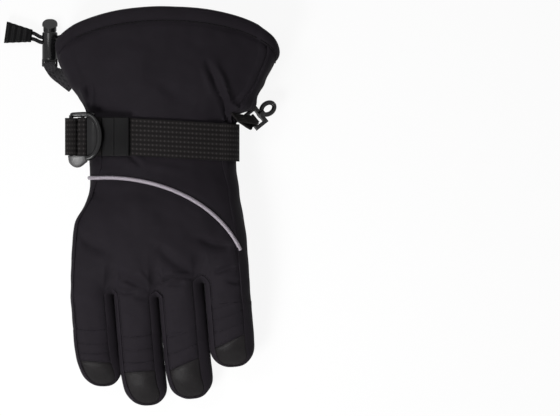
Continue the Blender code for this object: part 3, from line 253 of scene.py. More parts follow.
CORD_END_MOUTH = 15.0
CORD_END_HALF = 3.2
CORD_END_RIBS = 4.5
CORD_END_HOLES = 2.0
TAPE = 7.0
TAPE_THICK = 2.6
TAPE_SEAT = 86.0

# Pull loop
LOOP_WIDTH = 21.5
LOOP_SEWN = 24.0
LOOP_LEATHER = 1.6
LOOP_STITCH = 0.42

# Clip and its tab
CLIP_AT = Vector((60.0, 58.5, 20.0))
CLIP_TURN = 39.0
CLIP_DIP = 24.0
CLIP_WIRE = 1.3
CLIP_LENGTH = 9.0
CLIP_HALF = 7.0
CLIP_WINDOW = 4.4
CLIP_WINDOW_END = 6.4
CLIP_RING_AT = 15.0
CLIP_RING = (5.2, 3.55)
CLIP_RING_WIRE = 1.6
CLIP_SEAT = (61.0, 1.2)
CLIP_TAB = 7.0
CLIP_TAB_THICK = 1.2

# Sewing and folds
STITCHED = 0.91
FOLD_GAIN = 1.3
FOLD_DEEP = 2.3
ABOVE = 50.0
HERE = Matrix.Identity(4)

# Studio: lengths are in metres, the sensor in millimetres
AMBIENT = 0.16
FLOOR_LEVEL = -0.0004
FLOOR_GLOW = 0.91
SENSOR = 36.0
FOCUS_HEIGHT = 0.02
Lamp = namedtuple("Lamp", "name spot aim size share spread")
LAMPS = (
    Lamp("key_lamp", (-0.42, 0.36, 0.8), (-0.02, -0.04, 0), 0.35, 1.0, 180),
    Lamp("finger_lamp", (-0.36, -0.5, 0.75), (0.0, -0.14, 0), 0.35, 0.42, 60),
)

# The thumb's hinge ties the drawing's frame to the row frame
PIVOT = JOINTS["thumb_swing"]["pos_m"]
SHIFT = np.array((PIVOT[0] - THUMB_PIVOT[0] * MM, PIVOT[1] - THUMB_PIVOT[1] * MM, 0.0))


def eased(rows, at):
    """All values of the rows at a place, on a smooth curve that never swings past its points."""
    if at >= rows[0][0]:
        return rows[0][1:]
    if at <= rows[-1][0]:
        return rows[-1][1:]
    i = next(k for k in range(len(rows) - 1) if rows[k + 1][0] <= at)
    first, second = rows[i], rows[i + 1]
    span = second[0] - first[0]
    t = (at - first[0]) / span
    values = []
    for k in range(1, len(first)):
        slope = (second[k] - first[k]) / span
        tangents = [slope, slope]
        for end, j in ((0, i - 1), (1, i + 2)):
            if 0 <= j < len(rows):
                near = first if end == 0 else second
                other = (near[k] - rows[j][k]) / (near[0] - rows[j][0])
                agree = other * slope > 0
                tangents[end] = 2 * other * slope / (other + slope) if agree else 0.0
        h1 = t * t * (3 - 2 * t)
        start = first[k] * (1 - h1) + second[k] * h1
        lean = span * (t * (1 - t) ** 2 * tangents[0] - t * t * (1 - t) * tangents[1])
        values.append(start + lean)
    return values


class Profile:
    """Smooth curves through stations, looked up at any place or array of places."""

    def __init__(self, rows):
        self.at = np.linspace(rows[-1][0], rows[0][0], 1500)
        self.lines = np.array([eased(rows, at) for at in self.at]).T

    def __call__(self, at):
        return [np.interp(at, self.at, line) for line in self.lines]


SECTION = Profile(STATIONS)
LAYING = Profile(LAY)


def smooth(t):
    t = np.clip(t, 0.0, 1.0)
    return t * t * (3 - 2 * t)


def lay(y):
    return LAYING(y)[0]


def point(x, y, z):
    return np.stack(np.broadcast_arrays(x, y, z), -1).astype(float)


def bell(distance, width):
    return np.exp(-((distance / width) ** 2))


def laid(plan, height):
    """Points over places in plan, this much over the level at which the glove's middle lies."""
    return point(plan[..., 0], plan[..., 1], lay(plan[..., 1]) + height)


def seam_half(y):
    width, _, side, _, _, _ = SECTION(y)
    return width / 2 - side


def rolled(y):
    """How far the hand's back is turned towards the thumb, and its palm the other way."""
    return HAND_ROLL * smooth((30.0 - y) / 26.0)


def hull(y, q, out=0.0, edge=0.0):
    """Points of the gauntlet: q runs 0 to 4 over back, little-finger side, palm, thumb side."""
    y, q = np.broadcast_arrays(np.asarray(y, float), np.asarray(q, float))
    _, centre, side, rise, crown, palm = SECTION(y)
    seam = seam_half(y)
    roll = rolled(y)
    part = np.floor(q).astype(int) % 4
    f = q - np.floor(q)
    face = np.where(part == 0, 1, -1)
    s = face * (2 * f - 1)
    top = np.where(part == 0, crown, palm)
    flat_x = centre + face * roll + s * (seam - edge)
    flat_z = face * (rise + out + (top - rise) * (1 - s * s))
    turn = np.pi * (0.5 - f)
    sign = np.where(part == 1, 1, -1)
    side_x = centre + sign * (seam + edge + roll * np.sin(turn) + (side + out - edge) * np.cos(turn))
    side_z = sign * (rise + out) * np.sin(turn)
    flat = (part == 0) | (part == 2)
    return point(np.where(flat, flat_x, side_x), y, lay(y) + np.where(flat, flat_z, side_z))


def hem_edge(q):
    spot = hull(HEM_CORNER, q)
    across = (spot[..., 0] - HEM.centre) / (HEM.width / 2)
    upper = spot[..., 2] >= lay(HEM_CORNER)
    rise = np.where(upper, HEM_BACK_RISE, HEM_PALM_RISE)
    full = np.where(upper, HEM_BACK_FULL, HEM_PALM_FULL)
    return HEM_CORNER + rise * np.maximum(1 - across * across, 0.0) ** full


def piping_y(x):
    across = np.clip((x - PIPING_CENTRE) / PIPING_REACH, -1.0, 1.0)
    return PIPING_TOP - PIPING_DROP * (1 - np.sqrt(1 - across * across))


def back_x(s, y):
    """Places across the glove's back, from -1 at its thumb side to 1 at its little-finger side."""
    return SECTION(y)[1] + rolled(y) + s * seam_half(y)


def piping_cross(s, offset):
    y = np.full(np.shape(s), PIPING_TOP)
    for _ in range(40):
        x = back_x(s, y)
        slope = (piping_y(x + 0.1) - piping_y(x - 0.1)) / 0.2
        slant = np.minimum(np.sqrt(1 + slope * slope), 2.6)
        y = 0.5 * y + 0.5 * (piping_y(x) + offset * slant)
    return y


def piping_path():
    """The piping over the back, with its ends turned on to the sides."""
    left = hull(piping_cross(np.array(-1.0), 0.0), np.linspace(3.5, 3.97, 10), 0.2)
    s = np.linspace(-0.985, 0.985, 90)
    y = piping_cross(s, 0.0)
    _, _, _, rise, crown, _ = SECTION(y)
    middle = point(back_x(s, y), y, lay(y) + rise + (crown - rise) * (1 - s * s) - 0.1)
    q = np.linspace(1.02, 1.16, 6)
    y = np.full(6, y[-1])
    for _ in range(30):
        y = 0.5 * y + 0.5 * piping_y(hull(y, q)[:, 0])
    return np.concatenate((left, middle, hull(y, q, 0.2)))


class Stall:
    """A finger as a back strip, a palm strip and a side strip round its tip."""

    def __init__(self, size):
        self.name, self.flex, self.cap, self.cap_slant = size.name, size.flex, size.cap, size.cap_slant
        self.quilts, self.quilt_slant, self.lean = size.quilts, size.quilt_slant, size.lean
        self.root = np.array(size.root)
        axis = np.array(size.tip) - self.root
        self.length = float(np.linalg.norm(axis))
        self.axis = axis / self.length
        self.side = np.array((-self.axis[1], self.axis[0]))
        self.end = self.length - TIP_BULGE
        self.left_root = self.right_root = 0.0
        self.bulges = {-1: OUTER_HALF - FINGER_SEAM, 1: OUTER_HALF - FINGER_SEAM}
        self.roll = FINGER_ROLL
        self.join = self.flex - FLEX_HALF

    def plan(self, t, s):
        t, s = np.broadcast_arrays(np.asarray(t, float), np.asarray(s, float))
        s = s + self.lean * self.leaning(t)
        return self.root + t[..., None] * self.axis + s[..., None] * self.side

    def leaning(self, t):
        return np.clip((t - self.end + TIP_LEAN) / TIP_LEAN, 0.0, 1.1) ** 2

    def rounding(self, t):
        return np.clip((t - (self.end - TIP_ROUND)) / TIP_ROUND, 0.0, 1.0)

    def half(self, t):
        wide = FINGER_SEAM - TIP_NARROW * abs(self.lean) * self.leaning(t)
        return wide * (1 - self.rounding(t) ** 2.6) ** (1 / 2.6)

    def away(self, t, sign):
        """The way out of the seam in plan, and how much of it points to the tip."""
        step = 0.004
        lean = (self.half(t + step) - self.half(t - step)) / (2 * step)
        ways = sign * self.side - lean[..., None] * self.axis
        ways /= np.linalg.norm(ways, axis=-1, keepdims=True)
        return ways, np.abs(ways @ self.axis)

    def rise(self, t, along, face):
        level = ROOT_RISE + (TIP_RISE - ROOT_RISE) * t / self.length
        return level * (1 - 0.62 * along**2) if face > 0 else level

    def seam(self, t, sign, face, inset):
        ways, along = self.away(t, sign)
        push = TIP_PUSH * along**2 if face > 0 else 0.0 * along
        rolled_to = sign * self.half(t) + face * self.turned(t)
        return self.plan(t, rolled_to) + ways * (push - inset)[..., None], along

    def turned(self, t):
        return self.roll * (1 - self.rounding(t) ** 2)

    def root_at(self, s):
        return self.left_root + (self.right_root - self.left_root) * (s + 1) / 2

    def cap_at(self, s):
        return self.cap + self.cap_slant * s / 2

    def quilt_at(self, line, s):
        """A quilting seam across the back of the finger, slanted and a little bowed."""
        return line + self.quilt_slant * s / 2 + 1.2 * (1 - s * s) - 0.6

    def lid(self, t, s, face):
        t, s = np.broadcast_arrays(np.asarray(t, float), np.asarray(s, float))
        left, along = self.seam(t, -1, face, EDGE)
        right, _ = self.seam(t, 1, face, EDGE)
        plan = left + (right - left) * ((s + 1) / 2)[..., None]
        root, tip = (ROOT_CROWN, TIP_CROWN) if face > 0 else (PALM_CROWN, TIP_PALM_CROWN)
        crown = root + (tip - root) * t / self.length
        rise = self.rise(t, along, face)
        swell = (1 - s * s) * (1 - self.rounding(t) ** 2)
        height = rise + (crown - rise) * swell
        return laid(plan, face * height)

    def wall(self, t, sign, turn):
        t, sign, turn = np.broadcast_arrays(np.asarray(t, float), sign, np.asarray(turn, float))
        points = np.zeros(t.shape + (3,))
        for way in (-1, 1):
            ways, along = self.away(t, way)
            bulge = self.bulges[way] + (TIP_BULGE - self.bulges[way]) * along
            push = TIP_PUSH * along**2
            full = np.maximum(np.cos(turn), 0.0) ** WALL_FULL
            reach = EDGE + (bulge - EDGE - push / 2) * full + push * (1 + np.sin(turn)) / 2
            base = self.plan(t, way * self.half(t) + self.turned(t) * np.sin(turn))
            plan = base + ways * reach[..., None]
            upper = self.rise(t, along, 1)
            lower = self.rise(t, along, -1)
            level = np.where(turn > 0, upper, lower) * np.sin(turn)
            points = np.where((sign == way)[..., None], laid(plan, level), points)
        return points

    def inside(self, at):
        """Half the width and half the height of the lining stall."""
        flat = np.array(min(at, self.end - TIP_ROUND))
        return OUTER_HALF - 2.6, self.rise(flat, np.array(0.0), -1) + 0.4

    def middle(self, at, y):
        return lay(y)

    def lining(self, places):
        """Rings of the lining stall, drawn in at its tip."""
        turn = np.linspace(0, 2 * np.pi, 25)
        rings = []
        for at in places:
            shrink = math.sqrt(max(1 - max((at - self.end + 10.0) / 10.0, 0.0) ** 2, 0.05))
            wide, high = self.inside(at)
            x, y = self.plan(at, wide * shrink * np.cos(turn)).T
            rings.append(point(x, y, self.middle(at, y) + high * shrink * np.sin(turn)))
        return np.array(rings)

    def tip_steps(self, start, count, turns=14):
        """Places along the finger that crowd together where its tip is rounded."""
        run = np.linspace(start, self.end - TIP_ROUND, count)[:-1]
        bend = np.sin(np.linspace(0, np.pi / 2, turns))
        return np.concatenate((run, self.end - TIP_ROUND * (1 - 0.9995 * bend)))


FINGERS = [Stall(size) for size in FINGER_SIZES]


def at_y(finger, y, s):
    return (y - finger.root[1] - finger.side[1] * s) / finger.axis[1]


for number, level in enumerate(CROTCHES):
    FINGERS[number].right_root = at_y(FINGERS[number], level, FINGER_SEAM)
    FINGERS[number + 1].left_root = at_y(FINGERS[number + 1], level, -FINGER_SEAM)
FINGERS[0].left_root = FINGERS[0].right_root
FINGERS[-1].right_root = FINGERS[-1].left_root
for number, half in enumerate(GAP_HALVES):
    FINGERS[number].bulges[1] = FINGERS[number + 1].bulges[-1] = half - FINGER_SEAM


def crotch(number, turn, edge, face):
    """Points of the seam round the bottom of a finger gap, and the way into the gap."""
    left, right = FINGERS[number], FINGERS[number + 1]
    start = left.plan(left.right_root, FINGER_SEAM + face * FINGER_ROLL)
    end = right.plan(right.left_root, -FINGER_SEAM + face * FINGER_ROLL)
    centre, across = (start + end) / 2, (end - start) / 2
    up = np.array((-across[1], across[0]))
    turn = np.asarray(turn, float)[..., None]
    spoke = -across * np.cos(turn) + up * np.sin(turn)
    length = np.linalg.norm(across)
    arch = (np.abs(np.cos(turn)) ** CROTCH_ARCH + np.abs(np.sin(turn)) ** CROTCH_ARCH) ** (-1 / CROTCH_ARCH)
    return centre + spoke * (arch + edge / length), -spoke * arch / length, length


def ridge(x, y, path, width, height, skew=0.0):
    """A soft fold along a path: how high it stands at each place, with a steeper far side."""
    best = np.full(np.shape(x), 1e9)
    side = np.zeros(np.shape(x))
    fade = np.zeros(np.shape(x))
    total = sum(math.dist(a, b) for a, b in zip(path, path[1:]))
    run = 0.0
    for a, b in zip(path, path[1:]):
        length = math.dist(a, b)
        ux, uy = (b[0] - a[0]) / length, (b[1] - a[1]) / length
        along = np.clip((x - a[0]) * ux + (y - a[1]) * uy, 0, length)
        dx, dy = x - a[0] - along * ux, y - a[1] - along * uy
        gap = np.hypot(dx, dy)
        near = gap < best
        best = np.where(near, gap, best)
        side = np.where(near, np.sign(dx * uy - dy * ux), side)
        fade = np.where(near, np.sin(np.pi * np.clip((run + along) / total, 0.02, 0.98)), fade)
        run += length
    reach = width * (1 + skew * side)
    return height * fade**0.6 * bell(best, reach)


def rough(points, size, height, seed=0.0):
    """Slow unevenness of cloth, the same for the same place."""
    flat = points.reshape(-1, 3) / size
    lift = [noise.noise(Vector((p[0], p[1] + seed, p[2] - seed))) for p in flat]
    return height * np.array(lift).reshape(points.shape[:-1])


def normals(rows):
    """Unit normals of a grid of points, column way times row way."""
    row_way = np.gradient(rows, axis=0)
    column_way = np.gradient(rows, axis=1)
    ways = np.cross(column_way, row_way)
    return ways / np.maximum(np.linalg.norm(ways, axis=-1, keepdims=True), 1e-9)


def lifted(rows, height, flip=False):
    return rows + normals(rows) * (np.asarray(height) * (-1 if flip else 1))[..., None]


def seam_dip(gap, depth=0.6, reach=0.95):
    """Cloth pulled down beside a seam, and a little full next to it."""
    return -depth * bell(gap, reach) + 0.3 * depth * bell(gap - 4.5, 2.6)


def sizes():
    return bpy.context.scene.glove_sizes


def select_only(obj):
    bpy.ops.object.select_all(action="DESELECT")
    obj.select_set(True)
    bpy.context.view_layer.objects.active = obj


def modify(obj, kind, **settings):
    """Adds a modifier with these settings and applies it."""
    change = obj.modifiers.new(kind.lower(), kind)
    for name, value in settings.items():
        setattr(change, name, value)
    select_only(obj)
    bpy.ops.object.modifier_apply(modifier=change.name)


def named(obj, name):
    obj.name = obj.data.name = name
    return obj


def shade_smooth(obj, angle):
    """Smooth shading, apart from edges sharper than an angle in degrees."""
    select_only(obj)
    bpy.ops.object.shade_smooth_by_angle(angle=math.radians(angle))


def round_edges(obj, width, angle=None, segments=3):
    """Rounds the edges that turn by more than an angle in degrees, or by Blender's own limit."""
    limit = {"limit_method": "ANGLE", "angle_limit": math.radians(angle)} if angle else {}
    modify(obj, "BEVEL", width=width * MM, segments=segments, **limit)


def grid_mesh(name, rows):
    """A grid laid through rows of points, in the row frame."""
    across, along = rows.shape[1] - 1, rows.shape[0] - 1
    bpy.ops.mesh.primitive_grid_add(x_subdivisions=across, y_subdivisions=along, size=2.0)
    obj = named(bpy.context.object, name)
    flat = np.zeros(len(obj.data.vertices) * 3)
    obj.data.vertices.foreach_get("co", flat)
    flat = flat.reshape(-1, 3)
    columns = np.rint((flat[:, 0] + 1) / 2 * across).astype(int)
    lines = np.rint((flat[:, 1] + 1) / 2 * along).astype(int)
    made = rows[lines, columns] * MM + SHIFT
    obj.data.vertices.foreach_set("co", made.ravel())
    obj.data.update()
    return obj


def panel(name, blocks, material, thick=None, flip=False, offset=-1.0, even=True):
    """A cloth panel: grids welded where they meet and given their thickness."""
    parts = [grid_mesh(f"{name}_{k}", rows) for k, rows in enumerate(blocks)]
    obj = parts[0]
    bpy.ops.object.select_all(action="DESELECT")
    for part in parts:
        part.select_set(True)
    bpy.context.view_layer.objects.active = obj
    if len(parts) > 1:
        bpy.ops.object.join()
    named(obj, name)
    bpy.ops.object.mode_set(mode="EDIT")
    bpy.ops.mesh.select_all(action="SELECT")
    bpy.ops.mesh.remove_doubles(threshold=0.02 * MM)
    if flip:
        bpy.ops.mesh.flip_normals()
    bpy.ops.object.mode_set(mode="OBJECT")
    thick = sizes().cloth / MM if thick is None else thick
    if thick:
        modify(obj, "SOLIDIFY", thickness=thick * MM, offset=offset, use_even_offset=even)
    shade_smooth(obj, 55)
    obj.data.materials.clear()
    obj.data.materials.append(material)
    return obj


def tube_rows(path, radius, sides=16):
    """Rings round a path, turned as little as can be from one to the next."""
    path = np.asarray(path, float)
    ways = np.gradient(path, axis=0)
    ways /= np.linalg.norm(ways, axis=1, keepdims=True)
    across = np.cross(ways[0], (0, 0, 1.0))
    if np.linalg.norm(across) < 1e-3:
        across = np.array((1.0, 0, 0))
    radii = np.broadcast_to(np.asarray(radius, float), (len(path),))
    rows = []
    for spot, way, size in zip(path, ways, radii):
        across = across - way * (across @ way)
        across /= np.linalg.norm(across)
        other = np.cross(way, across)
        angles = np.linspace(0, 2 * np.pi, sides + 1)
        ring = np.outer(np.cos(angles), across) + np.outer(np.sin(angles), other)
        ring[-1] = ring[0]
        rows.append(spot + size * ring)
    return np.array(rows)


def close_ends(obj):
    """Fills the open rims of a tube."""
    select_only(obj)
    bpy.ops.object.mode_set(mode="EDIT")
    bpy.ops.mesh.select_all(action="SELECT")
    bpy.ops.mesh.fill_holes(sides=0)
    bpy.ops.mesh.normals_make_consistent(inside=False)
    bpy.ops.object.mode_set(mode="OBJECT")


def tube(name, path, radius, material, sides=16):
    obj = panel(name, [tube_rows(path, radius, sides)], material, thick=0)
    close_ends(obj)
    shade_smooth(obj, 55)
    return obj


def curve_through(points, count):
    """Points on a smooth curve through a few."""
    points = np.asarray(points, float)
    made = []
    for i in range(len(points) - 1):
        before, after = points[max(i - 1, 0)], points[min(i + 2, len(points) - 1)]
        first, second = points[i], points[i + 1]
        for t in np.arange(count) / count:
            h1 = t * t * (3 - 2 * t)
            lean = (second - before) * 0.5 * t * (1 - t) ** 2 - (after - first) * 0.5 * t * t * (1 - t)
            made.append(first * (1 - h1) + second * h1 + lean)
    made.append(points[-1])
    return np.array(made)


def evenly(line, pitch):
    """Places a pitch apart along a line of points, and the way the line runs there."""
    line = np.asarray(line, float)
    lengths = np.concatenate(([0], np.cumsum(np.linalg.norm(np.diff(line, axis=0), axis=1))))
    count = max(int(lengths[-1] / pitch), 1)
    at = (np.arange(count) + 0.5) * lengths[-1] / count
    spots = np.stack([np.interp(at, lengths, line[:, k]) for k in range(3)], 1)
    ahead = np.stack([np.interp(at + 0.3, lengths, line[:, k]) for k in range(3)], 1)
    behind = np.stack([np.interp(at - 0.3, lengths, line[:, k]) for k in range(3)], 1)
    ways = ahead - behind
    return spots, ways / np.maximum(np.linalg.norm(ways, axis=1, keepdims=True), 1e-9)


def laid_on(obj, lines, face=1):
    """Lines dropped on to a finished panel, from above or from below."""
    bpy.context.view_layer.update()
    made = []
    for line in lines:
        spots = []
        for spot in np.asarray(line) * MM + SHIFT:
            hit, place, _, _ = obj.ray_cast(Vector(spot) + Vector((0, 0, 0.03 * face)), Vector((0, 0, -face)))
            if hit:
                spots.append((np.array(place) - SHIFT) / MM)
        if len(spots) > 1:
            made.append(np.array(spots))
    return made


def stitches(name, lines, material, pitch=2.4, size=1.0):
    """Rows of sewn stitches as small rounded lengths of thread."""
    length, width = sizes().stitch / MM * size, sizes().thread / MM * size
    mesh = bpy.data.meshes.new(name)
    bm = bmesh.new()
    for line in lines:
        for spot, way in zip(*evenly(line, pitch)):
            turn = Vector(way).to_track_quat("X", "Z").to_matrix().to_4x4()
            scale = Matrix.Diagonal((length / 2 * MM, width / 2 * MM, width / 2 * MM, 1.0))
            place = Matrix.Translation(Vector(spot * MM + SHIFT)) @ turn @ scale
            bmesh.ops.create_uvsphere(bm, u_segments=6, v_segments=5, radius=1.0, matrix=place)
    # Blender lists a sphere's faces in another order each run; sorted, the mesh is always the same
    bm.verts.index_update()
    count = len(bm.verts)
    bm.faces.sort(key=lambda face: face.verts[0].index * count + face.verts[1].index)
    bm.to_mesh(mesh)
    bm.free()
    obj = bpy.data.objects.new(name, mesh)
    bpy.context.collection.objects.link(obj)
    select_only(obj)
    bpy.ops.object.shade_smooth()
    mesh.materials.append(material)
    return obj


def solid(name, rows, material, bevel=0.0, segments=3):
    """A closed piece from a skin of rings, its ends filled and its edges rounded."""
    obj = panel(name, [rows], material, thick=0)
    close_ends(obj)
    if bevel:
        round_edges(obj, bevel, 35, segments)
    shade_smooth(obj, 40)
    return obj


def block(name, place, low, high, material, bevel=0.4, segments=3):
    """A box with rounded edges, in a frame given in millimetres."""
    low, high = Vector(low), Vector(high)
    bpy.ops.mesh.primitive_cube_add(size=1.0)
    obj = named(bpy.context.object, name)
    size = high - low
    matrix = place @ Matrix.Translation((low + high) / 2) @ Matrix.Diagonal((*size, 1.0))
    settle(obj, matrix)
    if bevel:
        round_edges(obj, bevel, segments=segments)
    shade_smooth(obj, 40)
    obj.data.materials.append(material)
    return obj


def rod(name, place, centre, along, radius, length, material, sides=32, bevel=0.0):
    bpy.ops.mesh.primitive_cone_add(vertices=sides, radius1=radius, radius2=radius, depth=length)
    obj = named(bpy.context.object, name)
    turn = Vector(along).to_track_quat("Z", "Y").to_matrix().to_4x4()
    settle(obj, place @ Matrix.Translation(centre) @ turn)
    if bevel:
        round_edges(obj, bevel, 50)
    shade_smooth(obj, 40)
    obj.data.materials.append(material)
    return obj


def settle(obj, matrix):
    """Puts a shape made in millimetres in its place in the row frame."""
    obj.data.transform(Matrix.Translation(Vector(SHIFT)) @ Matrix.Diagonal((MM, MM, MM, 1.0)) @ matrix)
    if matrix.determinant() < 0:
        obj.data.flip_normals()


def combine(obj, others, operation):
    """Joins other shapes to a piece or cuts them out of it."""
    for other in others:
        modify(obj, "BOOLEAN", operation=operation, solver="EXACT", object=other)
        bpy.data.objects.remove(other, do_unlink=True)
    shade_smooth(obj, 35)
    return obj


MADE_OF = {"softshell": "cloth", "leather": "hide", "fleece": "fleece", "piping": "cording",
           "webbing": "weave", "plastic": "moulding", "braid": "braid", "steel": "wire"}


def stands_for(obj, nodes, slot):
    """Names a piece after the node that it stands for, and takes that node's place."""
    if nodes:
        obj.name = obj.data.name = f"{nodes[0]}_{MADE_OF[slot]}"
        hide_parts(*nodes)
    return obj


def on_body(obj, body, *nodes, slot=None):
    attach(obj, body)
    return stands_for(obj, nodes, slot)


def hand_panel(name, blocks, finish, slot, thick=None, **how):
    """A panel that is fixed to the hand and stands for the node with its name."""
    on_body(panel(name, blocks, FINISHES[finish], thick, **how), "hand", name, slot=slot)


def across_joint(obj, child, start, end, *nodes, slot=None):
    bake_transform(obj)
    return stands_for(obj, nodes, slot)


def joint_panel(joint, name, blocks, finish, slot, thick=None, **how):
    """A panel that stands for the node with its name."""
    across_joint(panel(name, blocks, FINISHES[finish], thick, **how), *joint, name, slot=slot)


class Value:
    """A shader socket for sums: each operator adds a Math node."""

    def __init__(self, finish, socket):
        self.finish, self.socket = finish, socket

    def math(self, operation, first, second):
        return self.finish.node("ShaderNodeMath", {"operation": operation}, {0: first, 1: second})

    def __add__(self, other):
        return self.math("ADD", self, other)

    __radd__ = __add__

    def __sub__(self, other):
        return self.math("SUBTRACT", self, other)

    def __rsub__(self, other):
        return self.math("SUBTRACT", other, self)

    def __mul__(self, other):
        return self.math("MULTIPLY", self, other)

    __rmul__ = __mul__


class Finish:
    """A procedural material on the Principled shader."""

    def __init__(self, name, roughness, constants=None):
        self.material = bpy.data.materials.new(name)
        self.material.use_nodes = True
        self.tree = self.material.node_tree
        self.shader = self.tree.nodes["Principled BSDF"]
        self.shader.inputs["Roughness"].default_value = roughness
        for socket, value in (constants or {}).items():
            self.shader.inputs[socket].default_value = value

    def node(self, kind, settings=None, inputs=None, output=0):
        node = self.tree.nodes.new(kind)
        for key, value in (settings or {}).items():
            if key == "stops":
                for element, (at, level) in zip(node.color_ramp.elements, value):
                    element.position = at
                    element.color = (level, level, level, 1.0)
            else:
                setattr(node, key, value)
        for key, value in (inputs or {}).items():
            if isinstance(value, Value):
                self.tree.links.new(value.socket, node.inputs[key])
            else:
                node.inputs[key].default_value = value
        return Value(self, node.outputs[output])

    def feed(self, socket, value):
        self.tree.links.new(value.socket, self.shader.inputs[socket])

    def places(self, scale=(1.0, 1.0, 1.0), which="Object"):
        spot = self.node("ShaderNodeTexCoord", output=which)
        return self.node("ShaderNodeMapping", {}, {"Vector": spot, "Scale": scale})

    def cloud(self, spots, scale, detail=3.0, rough_part=0.55):
        return self.node("ShaderNodeTexNoise", {},
                         {"Vector": spots, "Scale": scale, "Detail": detail, "Roughness": rough_part})

    def bands(self, spots, scale, way):
        return self.node("ShaderNodeTexWave", {"bands_direction": way}, {"Vector": spots, "Scale": scale})

    def steep(self, value, low, high):
        return self.node("ShaderNodeValToRGB", {"stops": ((low, 0.0), (high, 1.0))}, {0: value})

    def tint(self, factor, first, second):
        colour = self.node("ShaderNodeMix", {"data_type": "RGBA"},
                           {0: factor, 6: (*first, 1.0), 7: (*second, 1.0)}, 2)
        self.feed("Base Color", colour)
        return colour

    def bump(self, height, strength, distance):
        self.feed("Normal", self.node("ShaderNodeBump", {},
                                      {"Height": height, "Strength": strength, "Distance": distance}))


def shade(colour, amount):
    return tuple(min(channel * amount, 1.0) for channel in colour)


def softshell_finish(colour):
    finish = Finish("softshell", 0.7, {"Specular IOR Level": 0.04, "Sheen Weight": 0.008,
                                       "Sheen Roughness": 0.5})
    spots = finish.places()
    mottle = finish.cloud(spots, 55.0, 4.0)
    thread = finish.bands(spots, 620.0, "X") * finish.bands(spots, 620.0, "Y")
    fuzz = finish.cloud(spots, 1900.0, 2.0)
    finish.tint(0.55 * mottle + 0.25 * thread + 0.2 * fuzz, shade(colour, 0.62), shade(colour, 1.35))
    finish.feed("Roughness", 0.52 + 0.2 * mottle + 0.12 * fuzz)
    finish.bump(thread + 0.8 * fuzz, 0.28, 0.0002)
    return finish.material


def leather_finish(name, colour, roughness, grain, depth):
    finish = Finish(name, roughness, {"Specular IOR Level": 0.1, "Coat Roughness": 0.35})
    spots = finish.places()
    cells = finish.node("ShaderNodeTexVoronoi", {"feature": "DISTANCE_TO_EDGE"},
                        {"Vector": spots, "Scale": grain})
    pebble = finish.steep(cells, 0.0, 0.22)
    mottle = finish.cloud(spots, 70.0, 4.0)
    fine = finish.cloud(spots, 1500.0, 2.0)
    finish.tint(0.5 * mottle + 0.35 * pebble + 0.15 * fine, shade(colour, 0.5), shade(colour, 1.4))
    finish.feed("Roughness", (roughness - 0.1) + 0.22 * mottle + 0.08 * fine)
    finish.bump(0.7 * pebble + 0.5 * fine, 0.4, depth)
    return finish.material


def fleece_finish(colour):
    finish = Finish("fleece", 0.95, {"Sheen Weight": 0.25, "Sheen Roughness": 0.6})
    spots = finish.places()
    curl = finish.cloud(spots, 420.0, 5.0, 0.7)
    tufts = finish.cloud(spots, 1300.0, 3.0)
    finish.tint(0.6 * curl + 0.4 * tufts, shade(colour, 0.5), shade(colour, 1.5))
    finish.bump(curl + 0.6 * tufts, 0.8, 0.0008)
    return finish.material


def piping_finish(colour):
    finish = Finish("piping", 0.45, {"Specular IOR Level": 0.3})
    spots = finish.places()
    mottle = finish.cloud(spots, 90.0, 3.0)
    fine = finish.cloud(spots, 1400.0, 2.0)
    finish.tint(0.7 * mottle + 0.3 * fine, shade(colour, 0.86), shade(colour, 1.12))
    finish.feed("Roughness", 0.36 + 0.2 * mottle)
    finish.bump(fine, 0.15, 0.0002)
    return finish.material


def webbing_finish(name, colour, across, along, dots):
    """Woven tape: ribs across its length and rows of raised yarn, on the strip's own map."""
    finish = Finish(name, 0.8, {"Specular IOR Level": 0.07, "Sheen Weight": 0.02, "Sheen Roughness": 0.5})
    strip = finish.places((across, along, 1.0), "UV")
    ribs = finish.bands(strip, math.pi / 10, "Y")
    rows = finish.bands(strip, math.pi / 10, "X")
    yarn = finish.steep(ribs * rows, 0.45, 0.8)
    cross = finish.bands(strip, math.pi / 2.5, "Y")
    fuzz = finish.cloud(finish.places(), 1700.0, 2.0)
    finish.tint(dots * yarn + 0.14 * cross + 0.2 * rows + 0.2 * fuzz, shade(colour, 0.3), shade(colour, 2.6))
    finish.feed("Roughness", 0.86 - 0.25 * yarn)
    finish.bump(yarn + 0.3 * cross + 0.3 * fuzz, 0.6, 0.00035)
    return finish.material


def plastic_finish(name, colour, roughness, worn, gloss):
    finish = Finish(name, roughness, {"Specular IOR Level": gloss, "Coat Roughness": 0.12})
    spots = finish.places()
    mottle = finish.cloud(spots, 130.0, 4.0)
    spark = finish.cloud(spots, 2400.0, 2.0)
    finish.tint(mottle, shade(colour, 0.75), shade(colour, 1.35))
    finish.feed("Roughness", roughness + worn * (mottle - 0.45) + 0.1 * (spark - 0.5))
    finish.bump(spark, 0.12, 0.00012)
    return finish.material


def braid_finish(name, colour, across, along):
    """A braid: two sets of slanting strands, on the cord's own map."""
    finish = Finish(name, 0.75, {"Specular IOR Level": 0.08, "Sheen Weight": 0.03, "Sheen Roughness": 0.5})
    strip = finish.places((across, along, 1.0), "UV")
    slant = finish.node("ShaderNodeMapping", {}, {"Vector": strip, "Rotation": (0, 0, math.pi / 4)})
    first = finish.bands(slant, math.pi / 7, "X")
    second = finish.bands(slant, math.pi / 7, "Y")
    strands = finish.node("ShaderNodeMath", {"operation": "MAXIMUM"}, {0: first, 1: second})
    fuzz = finish.cloud(finish.places(), 1800.0, 2.0)
    finish.tint(0.7 * strands + 0.3 * fuzz, shade(colour, 0.4), shade(colour, 1.5))
    finish.bump(strands + 0.3 * fuzz, 0.7, 0.0003)
    return finish.material


